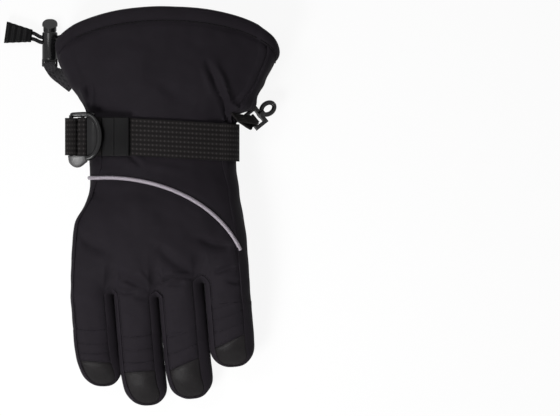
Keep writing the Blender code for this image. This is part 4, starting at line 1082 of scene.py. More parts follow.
def steel_finish():
    finish = Finish("spring_steel", 0.28, {"Metallic": 1.0})
    spots = finish.places()
    drawn = finish.cloud(spots, 900.0, 3.0)
    finish.tint(drawn, (0.42, 0.42, 0.43), (0.6, 0.6, 0.6))
    finish.feed("Roughness", 0.2 + 0.2 * drawn)
    return finish.material


def thread_and_stitch_shade_finish(colour):
    finish = Finish("dark_thread", 0.6, {"Specular IOR Level": 0.1})
    spots = finish.places()
    twist = finish.bands(spots, 900.0, "DIAGONAL")
    finish.tint(twist, shade(colour, 0.7), shade(colour, 1.3))
    finish.bump(twist, 0.3, 0.0001)
    return finish.material


FINISHES = {}


def mix_finishes(colours):
    """Makes every finish of the glove once."""
    FINISHES.update(
        softshell=softshell_finish(colours.softshell),
        leather=leather_finish("palm_leather", colours.leather, 0.5, 640.0, 0.00035),
        cap=leather_finish("cap_leather", colours.cap, 0.4, 900.0, 0.00022),
        fleece=fleece_finish(colours.lining),
        piping=piping_finish(colours.piping),
        webbing=webbing_finish("webbing", colours.webbing, 8.0, 44.0, 0.6),
        turn=webbing_finish("webbing_turn", colours.webbing, 8.0, 12.0, 0.6),
        tape=webbing_finish("tape", colours.webbing, 4.0, 22.0, 0.3),
        plastic=plastic_finish("moulded_plastic", colours.plastic, 0.22, 0.14, 0.26),
        satin=plastic_finish("satin_plastic", shade(colours.plastic, 0.75), 0.4, 0.2, 0.06),
        # Rail plastic: its high gloss is real, and its colour, 2.2 times lighter than the other plastic, is a
        # painted highlight for the light the rail catches
        polished=plastic_finish("polished_plastic", shade(colours.plastic, 2.2), 0.5, 0.12, 0.9),
        braid=braid_finish("braid", colours.cord, 8.0, 40.0),
        braid_tape=braid_finish("braid_tape", shade(colours.cord, 2.0), 4.0, 15.0),
        steel=steel_finish(),
        # Thread at 0.3 of the cloth: part its own dark colour, part painted shade, so stitch lines read as
        # the shadowed dents of the sewing
        thread=thread_and_stitch_shade_finish(shade(colours.softshell, 0.3)),
    )


Fold = namedtuple("Fold", "path width height skew")
HAND_FOLDS = (
    Fold(((-31, -41.8), (-24.3, -46.5), (-15.5, -50.9), (-7.8, -53.9)), 3.0, -2.4, 0.3),
    Fold(((-15.5, -42.3), (-10.8, -47.6), (-5.9, -53.3)), 1.8, 1.1, 0.2),
    Fold(((-31.9, -53.3), (-25.1, -56.6), (-16.9, -55.3)), 1.9, -1.5, 0.2),
    Fold(((-31, -51.2), (-24.3, -51), (-16.9, -54.3)), 1.6, 0.8, 0.0),
    Fold(((-19.5, -60), (-8, -60)), 1.8, -0.9, 0.0),
    Fold(((-4.9, -53.2), (0, -49.4), (7.6, -47), (15.3, -46.7), (22, -47.6)), 1.2, -1.6, 0.0),
    Fold(((-4.9, -50.8), (0, -46.8), (7.6, -44.3), (15.3, -44), (22, -45)), 1.5, 1.0, 0.0),
    Fold(((2.8, -51), (9, -51), (15.3, -49)), 2.0, -1.3, 0.0),
    Fold(((-3, -25.4), (4.7, -33), (12.4, -38.9), (21.1, -44.7)), 3.4, -1.9, 0.1),
    Fold(((24, -20), (34.6, -24.2), (46, -24.9)), 2.6, -2.2, 0.3),
    Fold(((34.6, -43.7), (41.3, -41.3), (49, -38.4)), 1.9, -1.5, 0.0),
    Fold(((43.1, -49), (49.9, -49.9), (57, -49)), 1.5, -1.4, 0.0),
    Fold(((-55, -19.5), (-44.5, -25.4), (-35.7, -29.3)), 3.6, -1.6, 0.1),
    Fold(((-48.5, 7), (-44.5, 12)), 2.0, -1.0, 0.0),
    Fold(((-46, 8), (-40, -8), (-36, -26)), 5.5, 0.8, 0.2),
    Fold(((-20, 14), (-8, -8), (0, -30)), 9.0, 1.0, 0.0),
    Fold(((22, 2), (30, -16), (34, -34)), 6.5, 1.0, 0.2),
)
CUFF_FOLDS = (
    Fold(((30, 98.6), (34.4, 87.6), (38.4, 77.5), (41.8, 68.3), (44, 58.2)), 1.2, -2.8, 0.2),
    Fold(((38.4, 77.5), (41.8, 68.3), (44, 57)), 1.3, -1.2, 0.0),
    Fold(((36, 96), (40.5, 87.6), (46.3, 70.8), (48.5, 56)), 2.1, 2.9, 0.2),
    Fold(((26.5, 96), (30.5, 85), (34.5, 75)), 1.6, 0.9, 0.0),
    Fold(((-50, 81.5), (-49.6, 76.2), (-49.4, 69.4)), 1.3, -2.0, 0.0),
    Fold(((-47.6, 82.5), (-46.6, 76.2), (-47.6, 70.1)), 1.3, 1.3, 0.0),
    Fold(((-55, 82), (-52.5, 76), (-51.5, 71)), 1.8, 1.4, 0.0),
    Fold(((-48, 64), (-34, 64.5), (-19, 64)), 2.2, -2.2, 0.0),
    Fold(((-2, 82.9), (9.2, 76.2), (22.7, 69.4)), 4.2, -1.5, 0.0),
    Fold(((-23.6, 36.4), (-18.2, 32.4), (-13.5, 28.3)), 1.6, -1.5, 0.2),
    Fold(((-18.2, 36.4), (-11.5, 31)), 2.2, 1.2, 0.0),
    Fold(((-30, 110), (-18, 92), (-12, 76)), 11.0, 1.2, 0.0),
    Fold(((-30, 30), (-6, 29), (20, 24)), 3.0, 0.7, 0.3),
)


def folds_at(x, y, folds):
    return FOLD_GAIN * sizes().folds * sum(ridge(x, y, *fold) for fold in folds)


def gap_to(x, y, line):
    """How far each place in plan is from the nearest point of a line."""
    spots = np.stack((np.ravel(x), np.ravel(y)), 1)
    best = np.full(len(spots), 1e9)
    for part in np.array_split(np.asarray(line)[:, :2], max(len(line) // 200, 1)):
        away = np.hypot(spots[:, None, 0] - part[None, :, 0], spots[:, None, 1] - part[None, :, 1])
        best = np.minimum(best, away.min(axis=1))
    return best.reshape(np.shape(x))


def gap_from(rows, line):
    return gap_to(rows[..., 0], rows[..., 1], line)


def finger_seams(face):
    """The seams beside each finger and round each finger gap, on the back or the palm."""
    lines = []
    for number, finger in enumerate(FINGERS):
        for sign in (-1, 1):
            t = finger.tip_steps(finger.root_at(sign), 120)
            plan, _ = finger.seam(t, sign, face, EDGE)
            lines.append(plan)
        if number < len(CROTCHES):
            plan, _, _ = crotch(number, np.linspace(0, np.pi, 40), EDGE, face)
            lines.append(plan)
    return lines


SEAMS = {face: np.concatenate(finger_seams(face)) for face in (1, -1)}
ACROSS = np.linspace(-1, 1, 27)


def over_width(run):
    """Places along a strip and across it, as grids."""
    t = np.broadcast_to(run[:, None], (len(run), len(ACROSS)))
    return t, np.broadcast_to(ACROSS, t.shape)


def hand_rows(face, top, count):
    """The back or palm of the hand, from the finger roots to its top edge."""
    columns = []
    for number, finger in enumerate(FINGERS):
        columns.append(finger.lid(finger.root_at(ACROSS), ACROSS, face))
        if number < len(CROTCHES):
            plan, _, _ = crotch(number, np.linspace(0, np.pi, 10)[1:-1], EDGE, face)
            rise = finger.rise(np.array(finger.right_root), np.array(0.0), face)
            columns.append(laid(plan, face * rise))
    start = np.concatenate(columns)
    first = start[:, 1]
    heights = np.abs(start[:, 2] - lay(first))
    s0 = (start[:, 0] - SECTION(first)[1] - face * rolled(first)) / seam_half(first)
    even = 2 * (s0 - s0[0]) / (s0[-1] - s0[0]) - 1
    last = top(even)
    v = np.linspace(0, 1, count)[:, None]
    y = first + (last - first) * v
    half = seam_half(y)
    s = s0 + (even * (1 - EDGE / half) - s0) * smooth((y - first) / SEAM_FADE)
    _, centre, _, rise, crown, palm = SECTION(y)
    full = rise + ((crown if face > 0 else palm) - rise) * (1 - s * s)
    x = centre + face * rolled(y) + s * half
    fade = smooth(gap_to(x, y, evenly(start, 0.2)[0]) / KNUCKLE_FADE)
    rows = point(x, y, lay(y) + face * (heights * (1 - fade) + full * fade))
    rows[0] = start
    spread = np.maximum(5.5 * smooth((y - first) / 14.0), 0.05)
    for k in range(1, count):
        x, level = rows[k, :, 0], rows[k, :, 2]
        near = bell(x[:, None] - x, spread[k][:, None]) * np.abs(np.gradient(x))
        inside = smooth((x - x[0]) / 12.0) * smooth((x[-1] - x) / 12.0)
        rows[k, :, 2] += inside * (near @ level / near.sum(axis=1) - level)
    return rows


def hand_blocks(face, top, count, relief):
    rows = hand_rows(face, top, count)
    edges = [rows[:, 0], rows[:, -1], rows[-1]]
    seams = np.concatenate([line[:, :2] for line in edges] + [SEAMS[face]])
    blocks = [rows]
    for finger in FINGERS:
        v = np.linspace(1, 0, 26)[:, None]
        root = finger.root_at(ACROSS)
        t = root + (finger.join - root) * v
        blocks.append(finger.lid(t, ACROSS, face))
    made = []
    for block_rows in blocks:
        lift = relief(block_rows) + seam_dip(gap_from(block_rows, seams))
        made.append(block_rows + point(0, 0, face * lift))
    return made


def back_relief(rows):
    x, y = rows[..., 0], rows[..., 1]
    knuckles = dents = 0.0
    for finger in FINGERS:
        at = finger.plan(-16.0, 0.0)
        knuckles = knuckles + 1.5 * np.exp(-(((x - at[0]) / 10.0) ** 2) - ((y - at[1]) / 13.0) ** 2)
        at = finger.plan(finger.flex * 0.45, 0.0)
        dents = dents - 0.5 * np.exp(-((y - at[1]) / 2.6) ** 2 - ((x - at[0]) / 12.0) ** 2)
    return (folds_at(x, y, HAND_FOLDS) + knuckles + dents
            + rough(rows, 17.0, 0.9) + rough(rows, 7.0, 0.35, 9.0))


def pleats(q):
    """Shirred cloth: uneven folds round the wrist's sides and palm."""
    phase = 2 * np.pi * PLEATS * (q - 1) / 3 + 0.8 * np.sin(7.3 * q) + 0.5 * np.sin(17.1 * q + 1.0)
    wave = (0.5 - 0.5 * np.cos(phase)) ** 0.75
    deep = 0.75 + 0.25 * np.sin(11.0 * q + 0.6)
    return wave * deep * smooth((q - 1) * 4) * smooth((4 - q) * 4)


def palm_relief(rows):
    x, y = rows[..., 0], rows[..., 1]
    s = (x - SECTION(y)[1] + rolled(y)) / seam_half(y)
    gathered = PLEAT_DEEP * pleats(2.5 - s / 2) * np.exp(-np.maximum(GATHER_LOW - y, 0) / 7.0)
    creases = 0.0
    for finger in FINGERS:
        for t, deep in ((finger.flex * 0.5, 0.5), (-9.0, 0.9), (-20.0, 0.6)):
            at = finger.plan(t, 0.0)
            creases = creases - deep * np.exp(-((y - at[1]) / 1.6) ** 2 - ((x - at[0]) / 13.0) ** 2)
    return gathered + creases + rough(rows, 15.0, 0.8, 4.0) + rough(rows, 5.0, 0.3, 2.0)


WALL = np.linspace(np.pi / 2, -np.pi / 2, 17)


def edge_dip(rows, deep=0.55):
    """Side strips drawn in a little along both their seams."""
    across = np.linspace(0, 1, rows.shape[1])
    wide = 18.0 * np.minimum(across, 1 - across)
    return np.broadcast_to(seam_dip(wide, deep, 1.6), rows.shape[:2])


def build_hand():
    back = hand_blocks(1, lambda s: piping_cross(s, -PIPING * 0.3), 84, back_relief)
    hand_panel("hand_back", back, "softshell", "softshell")
    palm = hand_blocks(-1, lambda s: np.full(np.shape(s), GATHER_LOW), 84, palm_relief)
    hand_panel("palm_leather", palm, "leather", "leather", flip=True)

    for side, finger, sign in (("thumb", FINGERS[0], -1), ("little", FINGERS[-1], 1)):
        root = finger.left_root if sign < 0 else finger.right_root
        t = np.linspace(finger.join, root, 26)[:, None]
        rows = finger.wall(t, sign, WALL)
        start = rows[-1, 0, 1]
        f = 0.5 - WALL / np.pi
        places = 1 + f if sign > 0 else np.minimum(4 - f, LAST_PLACE)
        y = np.linspace(start, GATHER_LOW, 60)[1:, None]
        upper = hull(y, places, 0.0, EDGE)
        jog = rows[-1, :, 0] - hull(start, places, 0.0, EDGE)[:, 0]
        upper[..., 0] += jog[None, :] * (1 - smooth((y - start) / SEAM_FADE))
        rows = np.concatenate((rows, upper))
        lift = edge_dip(rows) + rough(rows, 12.0, 0.7, 3.0 * sign)
        rows = lifted(rows, lift, flip=sign > 0)
        hand_panel(f"gusset_{side}", [rows], "softshell", "softshell", flip=sign < 0)

    for number in range(len(CROTCHES)):
        left, right = FINGERS[number], FINGERS[number + 1]
        t = np.linspace(left.join, left.right_root, 20)[:-1, None]
        first = left.wall(t, 1, WALL)
        turn = np.linspace(0, np.pi, 13)
        plan, inward, radius = crotch(number, turn, -EDGE, 0)
        bulge = min(left.bulges[1], radius - 0.1)
        reach = (bulge - EDGE) * np.maximum(np.cos(WALL), 0.0)[None, :] ** WALL_FULL * np.ones((13, 1))
        spots = plan[:, None, :] + inward[:, None, :] * reach[..., None]
        spots = spots + left.side * (FINGER_ROLL * np.sin(WALL))[None, :, None]
        rise = left.rise(np.array(left.right_root), np.array(0.0), -1)
        middle = laid(spots, rise * np.sin(WALL))
        t = np.linspace(right.left_root, right.join, 20)[1:, None]
        second = right.wall(t, -1, WALL)
        rows = np.concatenate((first, middle, second))
        name = f"fourchette_{left.name}_{right.name}"
        hand_panel(name, [rows], "softshell", "softshell", thick=1.0)


def quilted(finger, t, s):
    """Sewn grooves across the back of a finger, with the cloth full between them."""
    lift = 0.0
    for line in (finger.join + 0.2, *finger.quilts):
        at = t - finger.quilt_at(line, s)
        lift = lift - 0.6 * bell(at, 0.6) + 0.12 * bell(np.abs(at) - 3.2, 1.8)
    return lift


def joint_spot(spot, height):
    """A place in plan, in millimetres, as a point of the row frame at a height in metres."""
    return (*(np.array(spot) * MM + SHIFT[:2]), height)


def build_finger(finger):
    name = finger.name
    level = JOINTS[f"{name}_flex"]["pos_m"][2]
    start, end = (joint_spot(finger.plan(finger.flex + way * FLEX_HALF, 0.0), level) for way in (-1, 1))
    joint = (f"{name}_tip", start, end)
    cap_line = finger.lid(finger.cap_at(ACROSS), ACROSS, 1)
    v = np.linspace(1, 0, 34)[:, None]
    t = finger.join + (finger.cap_at(ACROSS) - 0.1 - finger.join) * v
    s = np.broadcast_to(ACROSS, t.shape)
    rows = finger.lid(t, s, 1)
    gap = np.minimum(gap_from(rows, SEAMS[1]), gap_from(rows, cap_line))
    rows = rows + point(0, 0, seam_dip(gap) + quilted(finger, t, s) + rough(rows, 9.0, 0.4, 5.0))
    back = panel(f"{name}_tip_back", [rows], FINISHES["softshell"])
    sewn = stitches(f"{name}_stitches", laid_on(back, finger_lines(finger)), FINISHES["thread"], 2.1, 0.85)
    across_joint(sewn, *joint)
    across_joint(back, *joint, f"{name}_tip_back", f"{name}_flex_panel", slot="softshell")

    first = finger.cap_at(ACROSS) + 0.1
    last = finger.end - 0.0005 * TIP_ROUND
    t = first + (last - first) * np.sin(np.linspace(0, np.pi / 2, 34))[:, None]
    s = np.broadcast_to(ACROSS, t.shape)
    rows = finger.lid(t, s, 1)
    gap = np.minimum(gap_from(rows, SEAMS[1]) + 0.6, gap_from(rows, cap_line))
    lift = seam_dip(gap, 0.7) + rough(rows, 8.0, 0.45, 7.0)
    rows = rows + point(0, 0, lift)
    joint_panel(joint, f"{name}_tip_cap", [rows[::-1]], "cap", "leather", even=False)

    t, s = over_width(finger.tip_steps(finger.join, 40, 20))
    rows = finger.lid(t, s, -1)
    gap = gap_from(rows, SEAMS[-1])
    crease = -1.3 * bell(t - finger.flex, 3.0)
    rows = rows - point(0, 0, seam_dip(gap) + crease * (1 - s**4) + rough(rows, 8.0, 0.45, 11.0))
    joint_panel(joint, f"{name}_tip_palm", [rows[::-1]], "leather", "leather", flip=True, even=False)

    run = finger.tip_steps(finger.join, 36, 22)
    path = np.concatenate((run, run[::-1]))[:, None]
    sign = np.concatenate((np.ones(len(run)), -np.ones(len(run))))[:, None]
    rows = finger.wall(path, sign, WALL)
    lift = edge_dip(rows, 0.25) + rough(rows, 8.0, 0.3, 2.0)
    rows = lifted(rows, lift)
    joint_panel(joint, f"{name}_tip_side", [rows], "softshell", "softshell", thick=1.0, flip=True)

    rows = finger.lining(np.linspace(3.0, finger.end - 1.5, 24))
    joint_panel(joint, f"{name}_lining", [rows], "fleece", "fleece", STALL_LINING)


def finger_lines(finger):
    """Sewing on the back of a finger's end: beside its seams and along its quilting."""
    lines = []
    for side in (-1, 1):
        t = np.linspace(finger.join + 0.6, finger.cap_at(side) - 0.8, 50)
        lines.append(finger.lid(t, np.full(50, side * STITCHED), 1))
    across = np.linspace(-0.9, 0.9, 40)
    for line in (finger.join + 0.9, *finger.quilts):
        lines.append(finger.lid(finger.quilt_at(line, across), across, 1))
    lines.append(finger.lid(finger.cap_at(across) - 1.1, across, 1))
    return lines


def hem_top(q):
    return hem_edge(q) - HEM_BAND + 1.6


def overhang(y, q):
    """Cloth of the little-finger side that hangs out over the strap."""
    low = OVERHANG_AT - OVERHANG_RISE
    fading = bell(y - OVERHANG_AT, OVERHANG_FADE)
    high = np.where(y > OVERHANG_AT, fading, smooth((y - low) / OVERHANG_RISE))
    return OVERHANG_OUT * high * smooth((q - 1) / 0.22) * smooth((2.1 - q) / 0.5)


def cuff_relief(rows, y, q, edges):
    """How far the cuff's back stands out: folds, slow waves, and a dip along its seams."""
    gap = np.min([np.linalg.norm(rows - edge, axis=-1) for edge in edges], axis=0)
    lift = seam_dip(gap) + folds_at(rows[..., 0], y, CUFF_FOLDS)
    lift += (rough(rows, 22.0, 1.3) + rough(rows, 8.0, 0.45, 3.0)) * smooth(gap / 5)
    lift = lift * smooth((hem_top(q) - y) / 7.0) + overhang(y, q)
    lift = np.where(lift < 0, -FOLD_DEEP * np.tanh(-lift / FOLD_DEEP), lift)
    lift = lift - 0.9 * bell(hem_top(q) - 1.9 - y, 1.7)
    return np.where(lift > 0, lift * smooth((np.abs(y - STRAP_CENTRE) - 10.0) / 6.0), lift)


def build_cuff():
    q = np.linspace(0, 1, 104)
    low = piping_cross(2 * q - 1, PIPING * 0.3)
    v = np.linspace(0, 1, 92)[:, None]
    y = low + (hem_top(q) - low) * v
    sheets = [(y, np.broadcast_to(q, y.shape))]
    for column, q in ((0, np.linspace(CUFF_LEFT, 0, 24)), (-1, np.linspace(1, CUFF_RIGHT, 12))):
        edge = y[y[:, column] > GATHER_TOP, column]
        part = (edge - edge[0]) / (edge[-1] - edge[0])
        side = edge[0] + (hem_top(q) - edge[0]) * part[:, None]
        sheets.append((side, np.broadcast_to(q, side.shape)))
    flat = [hull(*part) for part in sheets]
    edges = np.concatenate((flat[0][0], flat[1][:, 0], flat[2][:, -1]))
    blocks = [hull(y, q, cuff_relief(rows, y, q, edges)) for (y, q), rows in zip(sheets, flat)]
    hand_panel("cuff_back", blocks, "softshell", "softshell")

    halves = (("little", np.concatenate((np.linspace(CUFF_RIGHT + 0.004, 2.0, 40)[:-1],
                                         np.linspace(2.0, 2.499, 48)))),
              ("thumb", np.concatenate((np.linspace(2.501, 3.0, 48)[:-1],
                                        np.linspace(3.0, CUFF_LEFT + 3.996, 24)))))
    for side, q in halves:
        y = GATHER_TOP + (hem_top(q) - GATHER_TOP) * np.linspace(0, 1, 64)[:, None]
        q = np.broadcast_to(q, y.shape)
        rows = hull(y, q)
        gather = PLEAT_DEEP * pleats(q) * np.exp(-(y - GATHER_TOP) / 9.0)
        seam = np.abs(q - 2.5) * 2 * seam_half(y)
        uneven = rough(rows, 18.0, 1.2, 6.0) + rough(rows, 7.0, 0.4)
        lift = gather + seam_dip(seam) + uneven * smooth(seam / 5)
        lift += seam_dip(np.minimum(q - CUFF_RIGHT, CUFF_LEFT + 4 - q) * 40.0, 0.9) + overhang(y, q)
        rows = hull(y, q, lift * smooth((hem_top(q) - y) / 6.0))
        hand_panel(f"cuff_palm_{side}", [rows], "softshell", "softshell")

    q = np.linspace(1.0, LAST_PLACE, 330)[None, :]
    v = np.linspace(0, 1, 30)[:, None]
    y = GATHER_LOW + (GATHER_TOP - GATHER_LOW) * v
    inside = smooth((q - 1) * 3) * smooth((4 - q) * 3)
    draw = 0.35 * np.cos(2 * np.pi * 6 * v)
    out = (0.6 + (PLEAT_DEEP + draw) * pleats(q)) * inside * (1 - 0.6 * bell(v - 0.5, 0.16))
    out = out - 0.5 * bell(v - 0.5, 0.05) * inside
    out = np.where(q < 2.2, np.minimum(out, 0.5 + 3.0 * smooth((q - 1.8) / 0.3)), out)
    rows = hull(y, q, out)
    obj = panel("wrist_gather", [rows], FINISHES["softshell"])
    on_body(obj, "hand", "wrist_gather", "wrist_elastic", slot="softshell")

    obj = tube("piping", piping_path(), sizes().piping / MM / 2, FINISHES["piping"], 18)
    on_body(obj, "hand", "piping", slot="piping")

    build_hem()
    q = np.concatenate([np.linspace(k, k + 1, 41)[:-1] for k in range(4)] + [[4.0]])
    v = np.linspace(0, 1, 70)[:, None]
    low = CROTCHES[-1] + KNUCKLE_FADE + 5.0
    y = low + (hem_edge(q) - CHANNEL - low) * v
    rows = hull(y, q, LINING_OUT)
    quilts = -0.9 * bell((y + 200.0) % 16.0 - 8.0, 1.3)
    rows[:, -1] = rows[:, 0]
    shaped = lifted(rows, quilts + rough(rows, 9.0, 0.5), flip=True)
    shaped[:, -1] = shaped[:, 0]
    hand_panel("hand_lining", [shaped], "fleece", "fleece", thick=LINING)


def build_hem():
    """The hem: the cuff's cloth turned in over the drawcord and sewn down."""
    middle = HEM_INNER / 2
    corners = ((-0.5, -HEM_BAND - 0.2), (0.5, -9.0), (1.3, -7.4), (1.7, -5.2), (1.5, -2.8), (0.7, -0.8),
               (middle + 1.6, 0.0), (middle - 1.6, 0.0), (HEM_INNER + 0.9, -0.8), (HEM_INNER, -2.8),
               (HEM_INNER, -HEM_BAND))
    profile = curve_through(np.array([(out, drop, 0.0) for out, drop in corners]), 4)
    side = np.linspace(0, 1, 40)[:-1]
    q = np.concatenate((np.linspace(3.5 + HEM_MOUTH, 4.0, 14)[:-1], 4 + np.linspace(0, 1, 110)[:-1], 5 + side,
                        6 + np.linspace(0, 1, 110)[:-1], np.linspace(7.0, 7.5 - HEM_MOUTH, 14)))
    edge = hem_edge(q)
    wander = np.array([noise.noise(Vector((math.sin(a * 1.57) * 4, math.cos(a * 1.57) * 4, 1.0))) for a in q])
    rows = []
    for out, drop, _ in profile:
        swell = 0.5 * wander * bell(drop + 4, 4)
        rows.append(hull(edge + drop + 0.25 * wander, q, out + swell))
    hand_panel("cuff_hem", [np.array(rows)], "softshell", "softshell", thick=1.1)
    path = hull(edge - CORD_DEEP, q, middle)
    obj = tube("drawcord_ring", path, CORD / 2, FINISHES["braid"], 10)
    on_body(obj, "hand", "drawcord_ring", slot="braid")


class Thumb(Stall):
    """The thumb, lying under the palm on the table."""

    GIRTHS = Profile(THUMB_GIRTHS)

    def half(self, t):
        base, tip = THUMB_HALVES
        width = base + (tip - base) * np.minimum(t / self.end, 1.0) - 5.0 * smooth((12.0 - t) / 16.0)
        return width * (1 - self.rounding(t) ** 2.6) ** (1 / 2.6)

    def lid(self, t, s, face):
        crown, rise = self.GIRTHS(t)
        plan = self.plan(t, s * (self.half(t) - EDGE))
        height = rise + (crown - rise) * (1 - s * s) * (1 - self.rounding(t) ** 2)
        return point(plan[..., 0], plan[..., 1], crown + face * height)

    def wall(self, t, sign, turn):
        t, turn = np.broadcast_arrays(np.asarray(t, float), np.asarray(turn, float))
        crown, rise = self.GIRTHS(t)
        ways, along = self.away(t, sign)
        bulge = THUMB_BULGE + (TIP_BULGE - THUMB_BULGE) * along
        plan = self.plan(t, sign * self.half(t)) + ways * (EDGE + (bulge - EDGE) * np.cos(turn))[..., None]
        under = lay(plan[..., 1]) - SECTION(plan[..., 1])[5] + 1.0
        low = crown - rise
        high = np.where(t < THUMB_OPEN, np.maximum(under, low + 1.0), crown + rise)
        mix = smooth((t - THUMB_OPEN + 6.0) / 6.0)
        high = np.where(t < THUMB_OPEN, high * (1 - mix) + (crown + rise) * mix, high)
        level = (low + high) / 2 + (high - low) / 2 * np.sin(turn)
        return point(plan[..., 0], plan[..., 1], level)

    def inside(self, at):
        flat = np.array(min(at, self.end - TIP_ROUND))
        return float(self.half(flat)) + 1.0, self.GIRTHS(at)[1] - 1.0

    def middle(self, at, y):
        return self.GIRTHS(at)[0]


THUMB = Thumb(FingerSize("thumb", THUMB_ROOT, THUMB_TIP, 0.0, 0.0, 0.0, (), 0.0, 0.0))


def thumb_base(rows, t, s, out=1.4):
    """Carries the thumb's panel into the shirred wrist at its base."""
    y = THUMB.plan(t, 0.0)[..., 1]
    first, last = THUMB_ROOT_Q
    q = first + (last - first) * (s + 1) / 2
    wrist = hull(np.minimum(y, GATHER_LOW), q, out)
    mix = smooth((t - THUMB_BASE) / 34.0)[..., None]
    return wrist * (1 - mix) + rows * mix


def build_thumb():
    joint = ("thumb", *(joint_spot(spot, THUMB_BEND_HEIGHT) for spot in THUMB_BEND))
    t, s = over_width(THUMB.tip_steps(THUMB_BASE, 66, 20))
    rows = thumb_base(THUMB.lid(t, s, -1), t, s)
    gap = (1 - np.abs(s)) * THUMB.half(t)
    folds = ridge(rows[..., 0], rows[..., 1], ((-38, 30), (-34, 16), (-30, 4)), 3.0, 1.1)
    folds = folds + ridge(rows[..., 0], rows[..., 1], ((-24, 31), (-24, 18), (-26, 6)), 2.6, 0.9)
    lift = folds + 1.3 * pleats(2.9 - 0.3 * s) * np.exp(-(t - THUMB_BASE) / 9.0)
    lift = np.minimum(lift + seam_dip(gap) + rough(rows, 11.0, 0.8, 1.0), np.maximum(rows[..., 2] - 0.2, 0))
    rows = rows - point(0, 0, lift)
    joint_panel(joint, "thumb_outer", [rows[::-1]], "softshell", "softshell", flip=True, even=False)

    t, s = over_width(THUMB.tip_steps(THUMB_OPEN - 6.0, 30, 20))
    rows = THUMB.lid(t, s, 1)
    gap = (1 - np.abs(s)) * THUMB.half(t)
    rows = rows + point(0, 0, np.minimum(seam_dip(gap) + rough(rows, 9.0, 0.4, 1.0), 0.0))
    joint_panel(joint, "thumb_inner", [rows[::-1]], "leather", "leather", even=False)

    run = THUMB.tip_steps(THUMB_BASE, 66, 22)
    sides = []
    for sign, line in ((1, run), (-1, run[::-1])):
        t = line[:, None]
        sides.append(thumb_base(THUMB.wall(t, sign, WALL), t, sign, 0.4 - np.sin(WALL)))
    rows = np.concatenate(sides)
    rows = lifted(rows, edge_dip(rows, 0.45) + rough(rows, 9.0, 0.4, 2.0))
    joint_panel(joint, "thumb_side", [rows], "softshell", "softshell", thick=1.0, flip=True)

    rows = THUMB.lining(np.linspace(THUMB_OPEN + 1.0, THUMB.end - 2.0, 18))
    obj = panel("thumb_lining", [rows], FINISHES["fleece"], STALL_LINING)
    on_body(obj, "thumb", "thumb_lining", slot="fleece")


def strap_rows(q, across):
    """Points across the strap at each place round the wrist."""
    q = np.asarray(q)
    inside = smooth((q - 1) * 3) * smooth((4 - q) * 3) * (q > 1)
    offset = 0.4 + WEBBING_THICK + 0.7 * inside
    middle = STRAP_CENTRE + STRAP_SLOPE * hull(STRAP_CENTRE, q)[..., 0]
    y = middle[:, None] + WEBBING * across[None, :]
    return hull(y, q[:, None], offset[:, None])


def buckle_frame():
    contact = (STRAP_LEAVE + 1) / 2
    middle = np.array((0.0,))
    behind = contact - (contact - 0.9999) / 10
    last, before = (strap_rows(np.array((q,)), middle)[0, 0] for q in (contact, behind))
    x = Vector((before[0] - last[0], 0.0, before[2] - last[2])).normalized()
    y = Vector((0, 0, 1)).cross(x).normalized()
    turn = Matrix((x, y, x.cross(y))).transposed().to_4x4()
    place = Matrix.Translation(last) @ turn
    place.translation = place @ Vector((-BUCKLE_FROM_CONTACT, 0, FRAME_LIFT - WEBBING_THICK / 2))
    return place


def in_frame(place, points):
    return np.array([place @ Vector(spot) for spot in np.reshape(points, (-1, 3))]).reshape(np.shape(points))


def build_strap():
    place = buckle_frame()
    across = np.linspace(-0.5, 0.5, 15)
    contact = (STRAP_LEAVE + 1) / 2
    q = np.concatenate((np.linspace(1.8, 1.0001, 34), np.linspace(0.9999, contact, 56)))
    rows = strap_rows(q, across)
    low = -FRAME_LIFT + WEBBING_THICK / 2
    flat = []
    for a in np.linspace(BUCKLE_FROM_CONTACT - 3.0, STRAP_JOIN, 10):
        flat.append([(a, WEBBING * v, low) for v in across])
    rows = np.concatenate((rows, in_frame(place, np.array(flat))))
    for _ in range(3):
        rows[80:-1] = (rows[79:-2] + 2 * rows[80:-1] + rows[81:]) / 4
    rows = rows + point(0, 0, np.maximum(rough(rows, 14.0, 0.25), 0))
    hand_panel("wrist_strap", [rows], "webbing", "webbing", thick=WEBBING_THICK)

    high = MIDDLE_BAR / 2 + 0.3 + WEBBING_THICK
    rear = MIDDLE_BAR_AT - MIDDLE_BAR / 2 - 1.8
    front = MIDDLE_BAR_AT + MIDDLE_BAR / 2 + 1.8
    tail = low + WEBBING_THICK + 0.3
    under = low - WEBBING_THICK
    route = ((STRAP_JOIN, under), (rear + 1.6, under), (rear + 0.3, under + 0.7), (rear, low),
             (rear, high - 1.3), (rear + 0.5, high - 0.4), (rear + 1.4, high), (front - 1.4, high),
             (front - 0.4, high - 0.5), (front, high - 1.4), (front + 0.1, tail + 0.9),
             (front + 0.5, tail + 0.25), (front + 1.4, tail), (STRAP_JOIN, tail))
    route = curve_through(np.array([(a, 0.0, c) for a, c in route]), 3)
    rows = in_frame(place, np.array([[(a, (WEBBING + 0.6) * v, c) for v in across] for a, _, c in route]))
    hand_panel("strap_turn", [rows], "turn", "webbing", thick=WEBBING_THICK, flip=True)

    half = WEBBING / 2 + 0.6
    start = STRAP_JOIN + 0.3
    base = tail - WEBBING_THICK
    satin = FINISHES["satin"]
    far_corner = (start + TAB_LENGTH, half, base + TAB_THICK)
    tab = block("strap_end_tab", place, (start, -half, base), far_corner, satin, 0.8, 4)
    groove = [(start + at, way * (half + 1), base + level)
              for at, way, level in zip(TAB_GROOVE, (-1, 1), TAB_GROOVE_LEVELS)]
    combine(tab, [block("tab_groove", place, *groove, satin, 0.0)], "DIFFERENCE")
    on_body(tab, "hand", "strap_end_tab", slot="plastic")
    build_buckle(place)


def squared(value, power):
    """A sine or a cosine pushed out towards the corners of a square."""
    return math.copysign(abs(value) ** power, value)


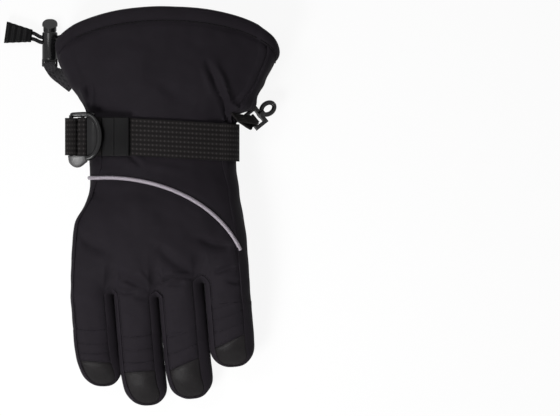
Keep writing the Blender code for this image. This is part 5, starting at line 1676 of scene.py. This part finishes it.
def build_buckle(place):
    """A ladder-lock buckle: a thin and a broad rail, two bars and a lipped tongue."""
    plastic = FINISHES["plastic"]
    rear = -BUCKLE_BAR / 2 - 0.6
    path = [(a, BUCKLE_HALF + 0.6 * math.sin(math.pi * (a - rear) / (BUCKLE_LENGTH - rear)), 0.2)
            for a in np.linspace(rear + 1.6, BUCKLE_LENGTH - 5.0, 14)]
    buckle = tube("buckle", in_frame(place, np.array(path)), [1.1] + [1.7] * 12 + [1.3], plastic, 20)
    rings = []
    turns = np.linspace(0, 2 * np.pi, 33)
    for v in np.linspace(0, 1, 26):
        ends = (1 - abs(2 * v - 1) ** 5) ** 0.5 + 0.04
        half = (2.6 + 1.4 * math.sin(math.pi * min(v * 1.15, 1.0))) * (0.55 + 0.45 * ends)
        ring = []
        for turn in turns:
            out = half * squared(math.cos(turn), 0.55)
            level = 2.0 * ends * squared(math.sin(turn), 0.6) + 0.42 * out
            ring.append((rear + BROAD_RAIL * v, -12.7 - half + out, level))
        ring[-1] = ring[0]
        rings.append(ring)
    # The broad rail takes the glossier plastic, whose lighter colour is a painted highlight
    broad = solid("buckle_rail", in_frame(place, np.array(rings)), FINISHES["polished"])
    on_body(broad, "buckle")
    reach = Vector((MIDDLE_BAR / 2, BUCKLE_HALF, MIDDLE_BAR / 2))
    middle = Vector((MIDDLE_BAR_AT, 0, 0))
    bars = [rod("buckle_rear", place, (0, 0, 0), (0, 1, 0), BUCKLE_BAR / 2, 2 * BUCKLE_HALF, plastic),
            block("buckle_middle", place, middle - reach, middle + reach, plastic, 0.4)]
    rows = []
    for v in np.linspace(0, 1, 20):
        a = TONGUE_FROM + 9.4 * v
        wide = 15.2 * math.sqrt(1 - 0.97 * v * v)
        c = 2.1 - 1.1 * math.sin(math.pi * min(v * 1.1, 1.0)) + 0.4 * v
        rows.append([(a, wide * s, c + 0.3 * (1 - s * s)) for s in np.linspace(-1, 1, 25)])
    tongue = panel("buckle_tongue", [in_frame(place, np.array(rows))], plastic, thick=2.0, flip=True)
    round_edges(tongue, 0.5, 50)
    arc = np.linspace(-0.5 * np.pi, 0.5 * np.pi, 40)
    lip = np.stack((TONGUE_FROM + 8.8 * np.cos(arc), 14.4 * np.sin(arc), 2.2 + 0.9 * np.cos(arc)), 1)
    rim = tube("buckle_lip", in_frame(place, lip), 1.9, plastic, 20)
    combine(buckle, [*bars, tongue, rim], "UNION")
    on_body(buckle, "buckle", "buckle", slot="plastic")

    origin = np.array(place.translation)
    thick = BUCKLE_LOOP_THICK
    ring = BUCKLE_BAR / 2 + 0.3 + thick
    wall = hull(origin[1], np.array((3.22, 3.42)), 3.1 + thick)
    away = wall[1] - origin
    first = math.atan2(away[2], away[0])
    route = [(wall[0][0], wall[0][2]), (wall[1][0], wall[1][2])]
    for angle in np.linspace(first + math.radians(78), first + math.radians(282), 14):
        route.append((origin[0] + ring * math.cos(angle), origin[2] + ring * math.sin(angle)))
    route.append((wall[1][0] - 2 * thick - 1.3, wall[1][2] - 1.5))
    route.append((wall[0][0] - 2 * thick, wall[0][2] + 0.5))
    route = curve_through(np.array([(x, 0.0, z) for x, z in route]), 3)
    rows = [[(x, origin[1] + WEBBING * v, z) for v in np.linspace(-0.5, 0.5, 11)] for x, _, z in route]
    hand_panel("buckle_loop", [np.array(rows)], "turn", "webbing", thick=thick, flip=True, even=False)


def strand_route(sign):
    """The free cord from the hem's mouth through the toggle into its end block."""
    q = 3.5 + sign * HEM_MOUTH
    start = hull(hem_edge(q) - CORD_DEEP, q, HEM_INNER / 2)
    rise = lay(HEM_CORNER)
    level = TOGGLE[2] - 0.2
    lead = 1.6 if sign > 0 else -1.4
    hole = CORD_HOLE + sign * CORD_PITCH / 2
    neck = CORD_END[1] + sign * CORD_END_HOLES
    return np.array((
        (start[0], start[1] + 0.5, start[2] - sign * (0.8 + CORD * 0.3)),
        (start[0] - 0.3, start[1] + 2.4, rise + sign * 2.6),
        (start[0] - 0.6, start[1] + 6.0, rise + sign * 2.2),
        (start[0] - 0.2, 113.4 + lead * 0.7, rise - 3.2 + sign * 2.0),
        (start[0] + 1.0, 115.9 + lead * 1.3, rise - 9.2 + sign * 1.4),
        (start[0] + 1.8, 116.2 + lead * 1.3, level + 5.6),
        (start[0] + 0.4, 115.0 + lead * 1.3, level + 1.2),
        (TOGGLE[0] + TOGGLE_RADIUS, hole, level),
        (TOGGLE[0] - TOGGLE_RADIUS, hole, level),
        (TOGGLE[0] - TOGGLE_RADIUS - 3.0, (hole + neck) / 2, level - 0.1),
        (CORD_END[0] + 1.0, neck, CORD_END[2]),
        (CORD_END[0] - 2.2, neck + 0.3, CORD_END[2]),
    ))


def build_drawcord():
    end = build_cord_end()
    for name, sign in (("a", 1), ("b", -1)):
        path = curve_through(strand_route(sign), 4)
        for _ in range(5):
            path[1:-1] = (path[:-2] + 2 * path[1:-1] + path[2:]) / 4
        obj = tube(f"drawcord_strand_{name}", path, CORD / 2, FINISHES["braid"], 14)
        on_body(obj, "hand", f"drawcord_strand_{name}", slot="braid")

    build_toggle()
    build_tape(on_toggle(TOGGLE_FLOOR - LUG_DROP))


def on_toggle(y):
    """A place on the toggle's axis."""
    return np.array((TOGGLE[0], y, TOGGLE[2]))


def build_toggle():
    """The cord lock: a barrel, and a button that the spring pushes out of it."""
    ahead = (0, 1, 0)
    plastic = FINISHES["plastic"]
    barrel = rod("toggle_barrel", HERE, on_toggle((TOGGLE_FLOOR + TOGGLE_RIM) / 2), ahead, TOGGLE_RADIUS,
                 TOGGLE_RIM - TOGGLE_FLOOR, plastic, 48, 0.9)
    lug = Matrix.Translation(on_toggle(TOGGLE_FLOOR - LUG_DROP))
    combine(barrel, [block("toggle_lug", lug, (-5.3, -2.5, -2.2), (5.3, 3.0, 2.2), plastic, 0.7)], "UNION")
    level = Matrix.Translation((TOGGLE[0], CORD_HOLE, TOGGLE[2] - 0.2))
    wide, deep = CORD_HOLE_HALVES
    cutters = [
        rod("toggle_bore", HERE, on_toggle(BORE_AT), ahead, TOGGLE_BORE, BORE_LENGTH, plastic, 48),
        block("toggle_hole", level, (-9, -wide, -deep), (9, wide, deep), plastic, 0.5),
        block("toggle_eye", lug, (-3.9, -0.9, -9), (3.9, 0.9, 9), plastic, 0.3),
    ]
    combine(barrel, cutters, "DIFFERENCE")
    on_body(barrel, "hand", "toggle_barrel", slot="plastic")

    button = rod("toggle_button", HERE, on_toggle(PLUNGER_AT), ahead, PLUNGER, PLUNGER_LENGTH, plastic, 48)
    head = rod("button_head", HERE, on_toggle((BUTTON_HEAD + BUTTON_TOP) / 2), ahead, TOGGLE_RADIUS,
               BUTTON_TOP - BUTTON_HEAD, plastic, 48, 0.4)
    combine(button, [head], "UNION")
    slant = Matrix.Translation(on_toggle(BUTTON_TOP - BUTTON_SLANT_DROP))
    slant = slant @ Matrix.Rotation(math.radians(BUTTON_SLANT), 4, "X")
    cutters = [block("button_slot", level, (-9, -wide, -deep), (9, wide + 3.0, deep), plastic, 0.5),
               block("button_slant", slant, (-9, 0, -14), (9, 14, 14), plastic, 0.0)]
    combine(button, cutters, "DIFFERENCE")
    on_body(button, "toggle_button", "toggle_button", slot="plastic")

    turns = np.linspace(0, 2 * np.pi * SPRING_TURNS, 97)
    coil_x = TOGGLE[0] + SPRING_COIL * np.cos(turns)
    coil_z = TOGGLE[2] + SPRING_COIL * np.sin(turns)
    path = point(coil_x, np.linspace(*SPRING_ENDS, 97), coil_z)
    obj = tube("toggle_spring", path, SPRING_WIRE, FINISHES["steel"], 8)
    on_body(obj, "hand", "toggle_spring", slot="steel")
    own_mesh(obj)


def build_tape(lug):
    """The tape that holds the toggle to the cuff, through its lug and back."""
    seat = hull(TAPE_SEAT, 3.5, TAPE * 0.31 + 1.2)
    bar = lug - (0, 1.7, 0)
    fold = 3.1
    offsets = ((3.4, -4.6, fold + 0.6), (0, -0.6, fold), (0, 0.6, fold + 0.2), (0, 1.75, fold - 0.6),
               (0, 1.75, 0.6 - fold), (0, 0.6, -fold - 0.2), (0, -0.6, -fold), (3.4, -4.6, -fold + 0.2))
    route = [seat + (7.0, -4.0, -7.0), seat + (0, 1.4, -6.0), *[bar + offset for offset in offsets],
             seat + (0, 1.4, -9.0), seat + (7.0, -4.0, -9.0)]
    slant = [(0.62, 0.78, 0)] * 2
    wides = slant + [(0.9, 0.4, 0)] + [(1, 0, 0)] * 6 + [(0.9, 0.4, 0)] + slant
    route = curve_through(np.array(route), 5)
    wides = curve_through(np.array(wides, float), 5)
    across = np.linspace(-0.5, 0.5, 9)
    girth = TAPE + 2.4 * np.sin(np.linspace(-0.5, 0.5, len(route)) * np.pi) ** 2
    rows = [[spot + wide / np.linalg.norm(wide) * size * v for v in across]
            for spot, wide, size in zip(route, wides, girth)]
    obj = panel("anchor_tape", [np.array(rows)], FINISHES["braid_tape"], TAPE_THICK, offset=0.0, even=False)
    round_edges(obj, 0.8, 60)
    on_body(obj, "hand", "anchor_tape", slot="braid")


def build_cord_end():
    turn = Matrix.Translation(CORD_END) @ Matrix.Rotation(math.radians(CORD_END_TURN), 4, "Z")
    rows = []
    angles = np.linspace(0, 2 * np.pi, 41)
    for v in np.linspace(0, 1, 60):
        half = (CORD_END_NECK + (CORD_END_MOUTH - CORD_END_NECK) * v) / 2
        rib = 0.5 * (0.5 - 0.5 * math.cos(2 * math.pi * CORD_END_RIBS * v)) * (0.1 < v < 0.98)
        ends = min(1.0, (0.04 + v) / 0.08, (1.04 - v) / 0.08) ** 0.5
        deep = (CORD_END_HALF - rib) * ends
        wide = (half - 0.35 * rib) * (0.94 + 0.06 * ends)
        ring = []
        for angle in angles:
            across = wide * squared(math.cos(angle), 0.35)
            ring.append((CORD_END_LENGTH * v, across, deep * squared(math.sin(angle), 0.5)))
        ring[-1] = ring[0]
        rows.append(ring)
    satin = FINISHES["satin"]
    obj = solid("cord_end", in_frame(turn, np.array(rows)), satin)
    bore = CORD / 2 + 0.3
    holes = [rod(f"cord_hole_{way}", turn, (1.0, way * CORD_END_HOLES, 0), (1, 0, 0), bore, 7.0, satin, 20)
             for way in (-1, 1)]
    combine(obj, holes, "DIFFERENCE")
    return on_body(obj, "hand", "cord_end", slot="plastic")


def loop_route():
    """The pull loop from its sewn end on the palm side, round past the hem and in."""
    edge = float(hem_edge(np.array(2.5)))
    skin, flat = 2.1, 0.5
    outside = ((edge - LOOP_SEWN, flat), (edge - HEM_BAND - 2.6, flat), (edge - HEM_BAND - 0.6, skin),
               (edge - 1.0, skin), (edge + 0.6, skin))
    route = [(y, lay(y) - (HEM.palm + out + LOOP_LEATHER)) for y, out in outside]
    middle = route[-1][1] + 6.5
    for angle in np.radians(np.linspace(-90, 90, 9)):
        route.append((edge + 1.4 + 5.2 * math.cos(angle), middle + 6.5 * math.sin(angle)))
    inner = HEM.palm - (3.1 + LINING + 2.7) - LOOP_LEATHER
    route.append((edge + 0.2, lay(edge) - inner - 0.3))
    route += [(y, lay(y) - inner) for y in (edge - 1.5, edge - HEM_BAND - 3.0)]
    return curve_through(np.array([(0.0, y, z) for y, z in route]), 5)


def build_pull_loop():
    route = loop_route()
    across = np.linspace(-0.5, 0.5, 19)
    rows = np.array([[(HEM.centre + LOOP_WIDTH * v, y, z) for v in across] for _, y, z in route])
    rows = lifted(rows, rough(rows, 8.0, 0.25), flip=True)
    obj = panel("pull_loop", [rows], FINISHES["leather"], LOOP_LEATHER, flip=True)
    round_edges(obj, 0.5, 60)
    on_body(obj, "hand", "pull_loop", slot="leather")
    ways = np.stack((np.zeros(len(route)), np.gradient(route[:, 1]), np.gradient(route[:, 2])), 1)
    out = np.cross(ways, (1.0, 0, 0))
    out /= np.linalg.norm(out, axis=1, keepdims=True)
    sewn = [k for k, spot in enumerate(route[: len(route) // 2]) if spot[1] < route[0][1] + 16.0]
    ends = [HEM.centre + LOOP_WIDTH * v for v in (-LOOP_STITCH, LOOP_STITCH)]
    lines = [route[sewn] + (x, 0, 0) - 0.12 * out[sewn] for x in ends]
    for k in (1, sewn[-1]):
        lines.append(np.linspace(*(route[k] + (x, 0, 0) - 0.12 * out[k] for x in ends), 20))
    obj = stitches("pull_loop_stitches", laid_on(obj, lines, -1), FINISHES["thread"], 2.4, 1.25)
    on_body(obj, "hand")


def build_clip():
    """A moulded hook on a webbing tab at the little-finger side of the cuff."""
    turn, dip = math.radians(CLIP_TURN), math.radians(CLIP_DIP)
    x = Vector((math.cos(turn) * math.cos(dip), math.sin(turn) * math.cos(dip), -math.sin(dip)))
    y = Vector((0, 0, 1)).cross(x).normalized()
    place = Matrix.Translation(CLIP_AT) @ Matrix((x, y, x.cross(y))).transposed().to_4x4()
    plastic = FINISHES["plastic"]
    far_corner = (CLIP_LENGTH, CLIP_HALF, CLIP_WIRE)
    clip = block("clip", place, (-CLIP_WIRE, -CLIP_HALF, -CLIP_WIRE), far_corner, plastic, 0.0)
    far_corner = (CLIP_WINDOW_END, CLIP_WINDOW, 9)
    window = block("clip_window", place, (CLIP_WIRE, -CLIP_WINDOW, -9), far_corner, plastic, 0.0)
    combine(clip, [window], "DIFFERENCE")
    turns = np.linspace(0, 2 * np.pi, 61)
    long, short = CLIP_RING
    oval = point(CLIP_RING_AT + long * np.cos(turns), short * np.sin(turns), 0.0)
    ring = panel("clip_ring", [tube_rows(in_frame(place, oval), CLIP_RING_WIRE)], plastic, thick=0)
    barrel = rod("clip_barrel", place, (8.6, 0, 0), (1, 0, 0), 2.6, 4.4, plastic, 32, 0.4)
    combine(clip, [barrel, ring], "UNION")
    round_edges(clip, 0.5, 55)
    on_body(clip, "clip", "clip", slot="plastic")

    ring_out = CLIP_WIRE * math.sqrt(2) + 1.25
    wide = np.array(place.to_3x3() @ Vector((0, 1, 0)))
    seat = hull(*CLIP_SEAT, abs(wide[0]) * 4.0 + 2.6)
    away = place.to_3x3().inverted() @ Vector(seat - np.array(CLIP_AT))
    first = math.atan2(away.z, away.x)
    lead = Vector((away.x, 0, away.z)).normalized() * 3.2
    turns = np.linspace(first - math.radians(75), first - math.radians(285), 14)
    spots = [Vector((ring_out * math.cos(angle), 0, ring_out * math.sin(angle))) for angle in turns]
    spots = [spots[0] + lead, *spots, spots[-1] + lead]
    route = [seat + (0, 0, 1.1)]
    route += [np.array(CLIP_AT + place.to_3x3() @ spot) for spot in spots]
    route.append(seat + (0, 0, -1.1))
    route = curve_through(np.array(route), 3)
    rows = [[spot + wide * CLIP_TAB * v for v in np.linspace(-0.5, 0.5, 9)] for spot in route]
    hand_panel("clip_tab", [np.array(rows)], "tape", "webbing", CLIP_TAB_THICK, offset=0.0, even=False)


def build_stitches():
    """Sewing that shows on the fixed part of the glove."""
    thread_and_painted_shade = FINISHES["thread"]
    parts = (np.linspace(0.01, 0.99, 160), np.linspace(1.03, 1.97, 60), np.linspace(2.02, 2.98, 160))
    # Hem stitches made wide, flat and overlapping into a dark band: painted shade for the dents along the
    # hem's sewing
    hem = [hull(hem_edge(part) - HEM_BAND + 0.35, part, 0.35) for part in parts]
    on_body(stitches("hem_stitches", hem, thread_and_painted_shade, 2.7, 2.3), "hand")
    cuff, back = bpy.data.objects["cuff_back_cloth"], bpy.data.objects["hand_back_cloth"]
    s = np.linspace(-0.97, 0.96, 160)
    y = piping_cross(s, PIPING / 2 + 1.5)
    line = point(back_x(s, y), y, ABOVE)
    on_body(stitches("piping_stitches", laid_on(cuff, [line]), thread_and_painted_shade, 2.4, 1.1), "hand")
    lines = []
    for number, finger in enumerate(FINGERS):
        for side in (-1, 1):
            t = np.linspace(finger.root_at(side) - 1.0, finger.join, 40)
            lines.append(finger.lid(t, np.full(40, side * STITCHED), 1))
        if number < len(CROTCHES):
            plan, _, _ = crotch(number, np.linspace(0.2, np.pi - 0.2, 30), 1.0, 1)
            lines.append(point(plan[:, 0], plan[:, 1], ABOVE))
    y = np.linspace(-46.0, -24.0, 60)
    lines.append(point(back_x(0.975, y), y, ABOVE))
    on_body(stitches("hand_stitches", laid_on(back, lines), thread_and_painted_shade, 2.1, 1.2), "hand")
    y = np.linspace(GATHER_TOP + 4.0, 110.0, 120)
    edge = hull(y, CUFF_RIGHT - 0.03, overhang(y, CUFF_RIGHT) + 6.0)
    on_body(stitches("cuff_seam_stitches", laid_on(cuff, [edge]), thread_and_painted_shade, 2.4, 1.7), "hand")


def seen_rays(tree):
    """One for rays from the camera or from a reflection or glass, nothing for light on the object."""
    path = tree.nodes.new("ShaderNodeLightPath")
    total = path.outputs["Is Camera Ray"]
    for name in ("Is Glossy Ray", "Is Transmission Ray"):
        add = tree.nodes.new("ShaderNodeMath")
        add.operation = "MAXIMUM"
        tree.links.new(total, add.inputs[0])
        tree.links.new(path.outputs[name], add.inputs[1])
        total = add.outputs[0]
    return total


def floor_finish():
    material = bpy.data.materials.new("pale_floor")
    material.use_nodes = True
    tree = material.node_tree
    tree.nodes.remove(tree.nodes["Principled BSDF"])
    matt = tree.nodes.new("ShaderNodeBsdfDiffuse")
    matt.inputs["Color"].default_value = (0.9, 0.9, 0.9, 1)
    glow = tree.nodes.new("ShaderNodeEmission")
    share = tree.nodes.new("ShaderNodeMath")
    share.operation = "MULTIPLY"
    share.inputs[1].default_value = FLOOR_GLOW
    mix = tree.nodes.new("ShaderNodeMixShader")
    tree.links.new(seen_rays(tree), share.inputs[0])
    tree.links.new(share.outputs[0], mix.inputs[0])
    tree.links.new(matt.outputs[0], mix.inputs[1])
    tree.links.new(glow.outputs[0], mix.inputs[2])
    tree.links.new(mix.outputs[0], tree.nodes["Material Output"].inputs["Surface"])
    return material


def light_world(scene):
    world = bpy.data.worlds.new("studio")
    scene.world = world
    world.use_nodes = True
    tree = world.node_tree
    light = tree.nodes["Background"]
    light.inputs["Color"].default_value = (1, 1, 1, 1)
    level = tree.nodes.new("ShaderNodeMath")
    level.operation = "MULTIPLY_ADD"
    level.inputs[1].default_value = 1 - AMBIENT
    level.inputs[2].default_value = AMBIENT
    tree.links.new(seen_rays(tree), level.inputs[0])
    tree.links.new(level.outputs[0], light.inputs["Strength"])


def colour_setting(name, description, default):
    return FloatVectorProperty(name=name, description=description, default=default,
                               subtype="COLOR", min=0.0, max=1.0)


def length_setting(name, description, default, low, high):
    return FloatProperty(name=name, description=description, default=default,
                         min=low, max=high, unit="LENGTH")


class GloveColours(PropertyGroup):
    """Colours of the glove's materials."""

    softshell: colour_setting("Softshell", "Cloth of the shell", (0.0142, 0.0121, 0.0152))
    leather: colour_setting("Palm leather", "Leather of the palm", (0.0125, 0.0108, 0.0114))
    cap: colour_setting("Cap leather", "Leather of the fingertip caps", (0.0088, 0.0078, 0.0083))
    lining: colour_setting("Lining", "Fleece inside the glove", (0.03, 0.03, 0.032))
    piping: colour_setting("Piping", "Piping across the back", (0.27, 0.242, 0.275))
    webbing: colour_setting("Webbing", "Wrist strap and tabs", (0.0125, 0.0113, 0.0113))
    plastic: colour_setting("Plastic", "Buckle, toggle and clip", (0.0055, 0.0053, 0.0057))
    cord: colour_setting("Cord", "Drawcord", (0.013, 0.0125, 0.0135))


class GloveSizes(PropertyGroup):
    """Sizes of the sewing and the cloth."""

    cloth: length_setting("Cloth thickness", "Thickness of the shell's cloth and leather",
                          SHELL * MM, 0.0005, 0.003)
    folds: FloatProperty(name="Folds", description="How high the folds stand, as a share of the real ones",
                         default=1.0, min=0.0, max=2.0, subtype="FACTOR")
    piping: length_setting("Piping width", "Width of the piping across the back", PIPING * MM, 0.001, 0.005)
    stitch: length_setting("Stitch length", "Length of one stitch that shows", 0.0015, 0.0005, 0.004)
    thread: length_setting("Thread width", "Width of the sewing thread", 0.00042, 0.0002, 0.001)


class GloveStage(PropertyGroup):
    """Sizes of the studio."""

    floor: length_setting("Floor", "Side of the floor", 12.0, 1.0, 100.0)
    camera_height: length_setting("Camera height", "Camera over the floor", 4.0, 1.0, 100.0)
    view_width: length_setting("View width", "Width that the picture takes in", 0.3774, 0.1, 10.0)
    lamp: FloatProperty(name="Lamp", description="Strength of the main lamp", default=2.9, min=0.0)


class GLOVE_OT_stage(Operator):
    """Sets the floor, the lamps and the camera"""

    bl_idname = "glove.stage"
    bl_label = "Stage"

    def execute(self, context):
        stage = context.scene.glove_stage
        bpy.ops.object.select_all(action="DESELECT")
        bpy.ops.mesh.primitive_plane_add(size=stage.floor, location=(0, 0, FLOOR_LEVEL))
        floor = context.object
        floor.name = "floor"
        bpy.ops.object.transform_apply(location=True)
        floor.data.materials.append(floor_finish())
        light_world(context.scene)
        for name, spot, aim, size, share, spread in LAMPS:
            bpy.ops.object.light_add(type="AREA", location=spot)
            lamp = context.object
            lamp.name = name
            lamp.data.size = size
            lamp.data.energy = stage.lamp * share
            lamp.data.spread = math.radians(spread)
            lamp.rotation_euler = (Vector(aim) - Vector(spot)).to_track_quat("-Z", "Y").to_euler()
        middle = ((PHOTO_MIDDLE - PHOTO_ORIGIN) * MM_PER_PIXEL * MM + SHIFT[0], SHIFT[1])
        bpy.ops.object.camera_add(location=(*middle, stage.camera_height), rotation=(0, 0, 0))
        camera = context.object
        camera.name = "view"
        camera.data.sensor_width = SENSOR
        camera.data.lens = SENSOR * (stage.camera_height - FOCUS_HEIGHT) / stage.view_width
        camera.data.clip_end = 40.0
        context.scene.camera = camera
        context.scene.view_settings.view_transform = "Standard"
        return {"FINISHED"}


class GLOVE_OT_drawcord(Operator):
    """Drawcord, its toggle, end block and anchor tape"""

    bl_idname = "glove.drawcord"
    bl_label = "Drawcord"

    def execute(self, context):
        build_drawcord()
        return {"FINISHED"}


class GLOVE_OT_finishes(Operator):
    """Materials of the glove"""

    bl_idname = "glove.finishes"
    bl_label = "Materials"

    def execute(self, context):
        mix_finishes(context.scene.glove_colours)
        return {"FINISHED"}


class GLOVE_OT_hand(Operator):
    """Back, palm, side strips and strips between the fingers"""

    bl_idname = "glove.hand"
    bl_label = "Hand"

    def execute(self, context):
        build_hand()
        return {"FINISHED"}


class GLOVE_OT_fingers(Operator):
    """The ends of the four fingers"""

    bl_idname = "glove.fingers"
    bl_label = "Fingers"

    def execute(self, context):
        for finger in FINGERS:
            build_finger(finger)
        return {"FINISHED"}


class GLOVE_OT_thumb(Operator):
    """The thumb under the palm"""

    bl_idname = "glove.thumb"
    bl_label = "Thumb"

    def execute(self, context):
        build_thumb()
        return {"FINISHED"}


class GLOVE_OT_cuff(Operator):
    """Gauntlet, shirred wrist, piping, hem and lining"""

    bl_idname = "glove.cuff"
    bl_label = "Cuff"

    def execute(self, context):
        build_cuff()
        build_stitches()
        return {"FINISHED"}


class GLOVE_OT_strap(Operator):
    """Wrist strap with its buckle"""

    bl_idname = "glove.strap"
    bl_label = "Wrist strap"

    def execute(self, context):
        build_strap()
        return {"FINISHED"}


class GLOVE_OT_fittings(Operator):
    """Pull loop and clip"""

    bl_idname = "glove.fittings"
    bl_label = "Pull loop and clip"

    def execute(self, context):
        build_pull_loop()
        build_clip()
        return {"FINISHED"}


OPERATORS = (GLOVE_OT_finishes, GLOVE_OT_stage, GLOVE_OT_drawcord, GLOVE_OT_hand, GLOVE_OT_fingers,
             GLOVE_OT_thumb, GLOVE_OT_cuff, GLOVE_OT_strap, GLOVE_OT_fittings)


class GLOVE_PT_sidebar(Panel):
    bl_idname = "GLOVE_PT_sidebar"
    bl_label = "Ski Glove"
    bl_space_type = "VIEW_3D"
    bl_region_type = "UI"
    bl_category = "Ski Glove"

    def draw(self, context):
        for group in (context.scene.glove_sizes, context.scene.glove_colours, context.scene.glove_stage):
            for name in group.__annotations__:
                self.layout.prop(group, name)
        for operator in OPERATORS:
            self.layout.operator(operator.bl_idname)


CLASSES = (GloveSizes, GloveColours, GloveStage, *OPERATORS, GLOVE_PT_sidebar)


def register():
    for cls in CLASSES:
        bpy.utils.register_class(cls)
    bpy.types.Scene.glove_sizes = PointerProperty(type=GloveSizes)
    bpy.types.Scene.glove_colours = PointerProperty(type=GloveColours)
    bpy.types.Scene.glove_stage = PointerProperty(type=GloveStage)


def unregister():
    del bpy.types.Scene.glove_stage
    del bpy.types.Scene.glove_colours
    del bpy.types.Scene.glove_sizes
    for cls in reversed(CLASSES):
        bpy.utils.unregister_class(cls)


def main():
    register()
    bpy.ops.glove.finishes()
    bpy.ops.glove.stage()
    bpy.ops.glove.drawcord()
    bpy.ops.glove.hand()
    bpy.ops.glove.fingers()
    bpy.ops.glove.thumb()
    bpy.ops.glove.cuff()
    bpy.ops.glove.strap()
    bpy.ops.glove.fittings()


if __name__ == "__main__":
    main()
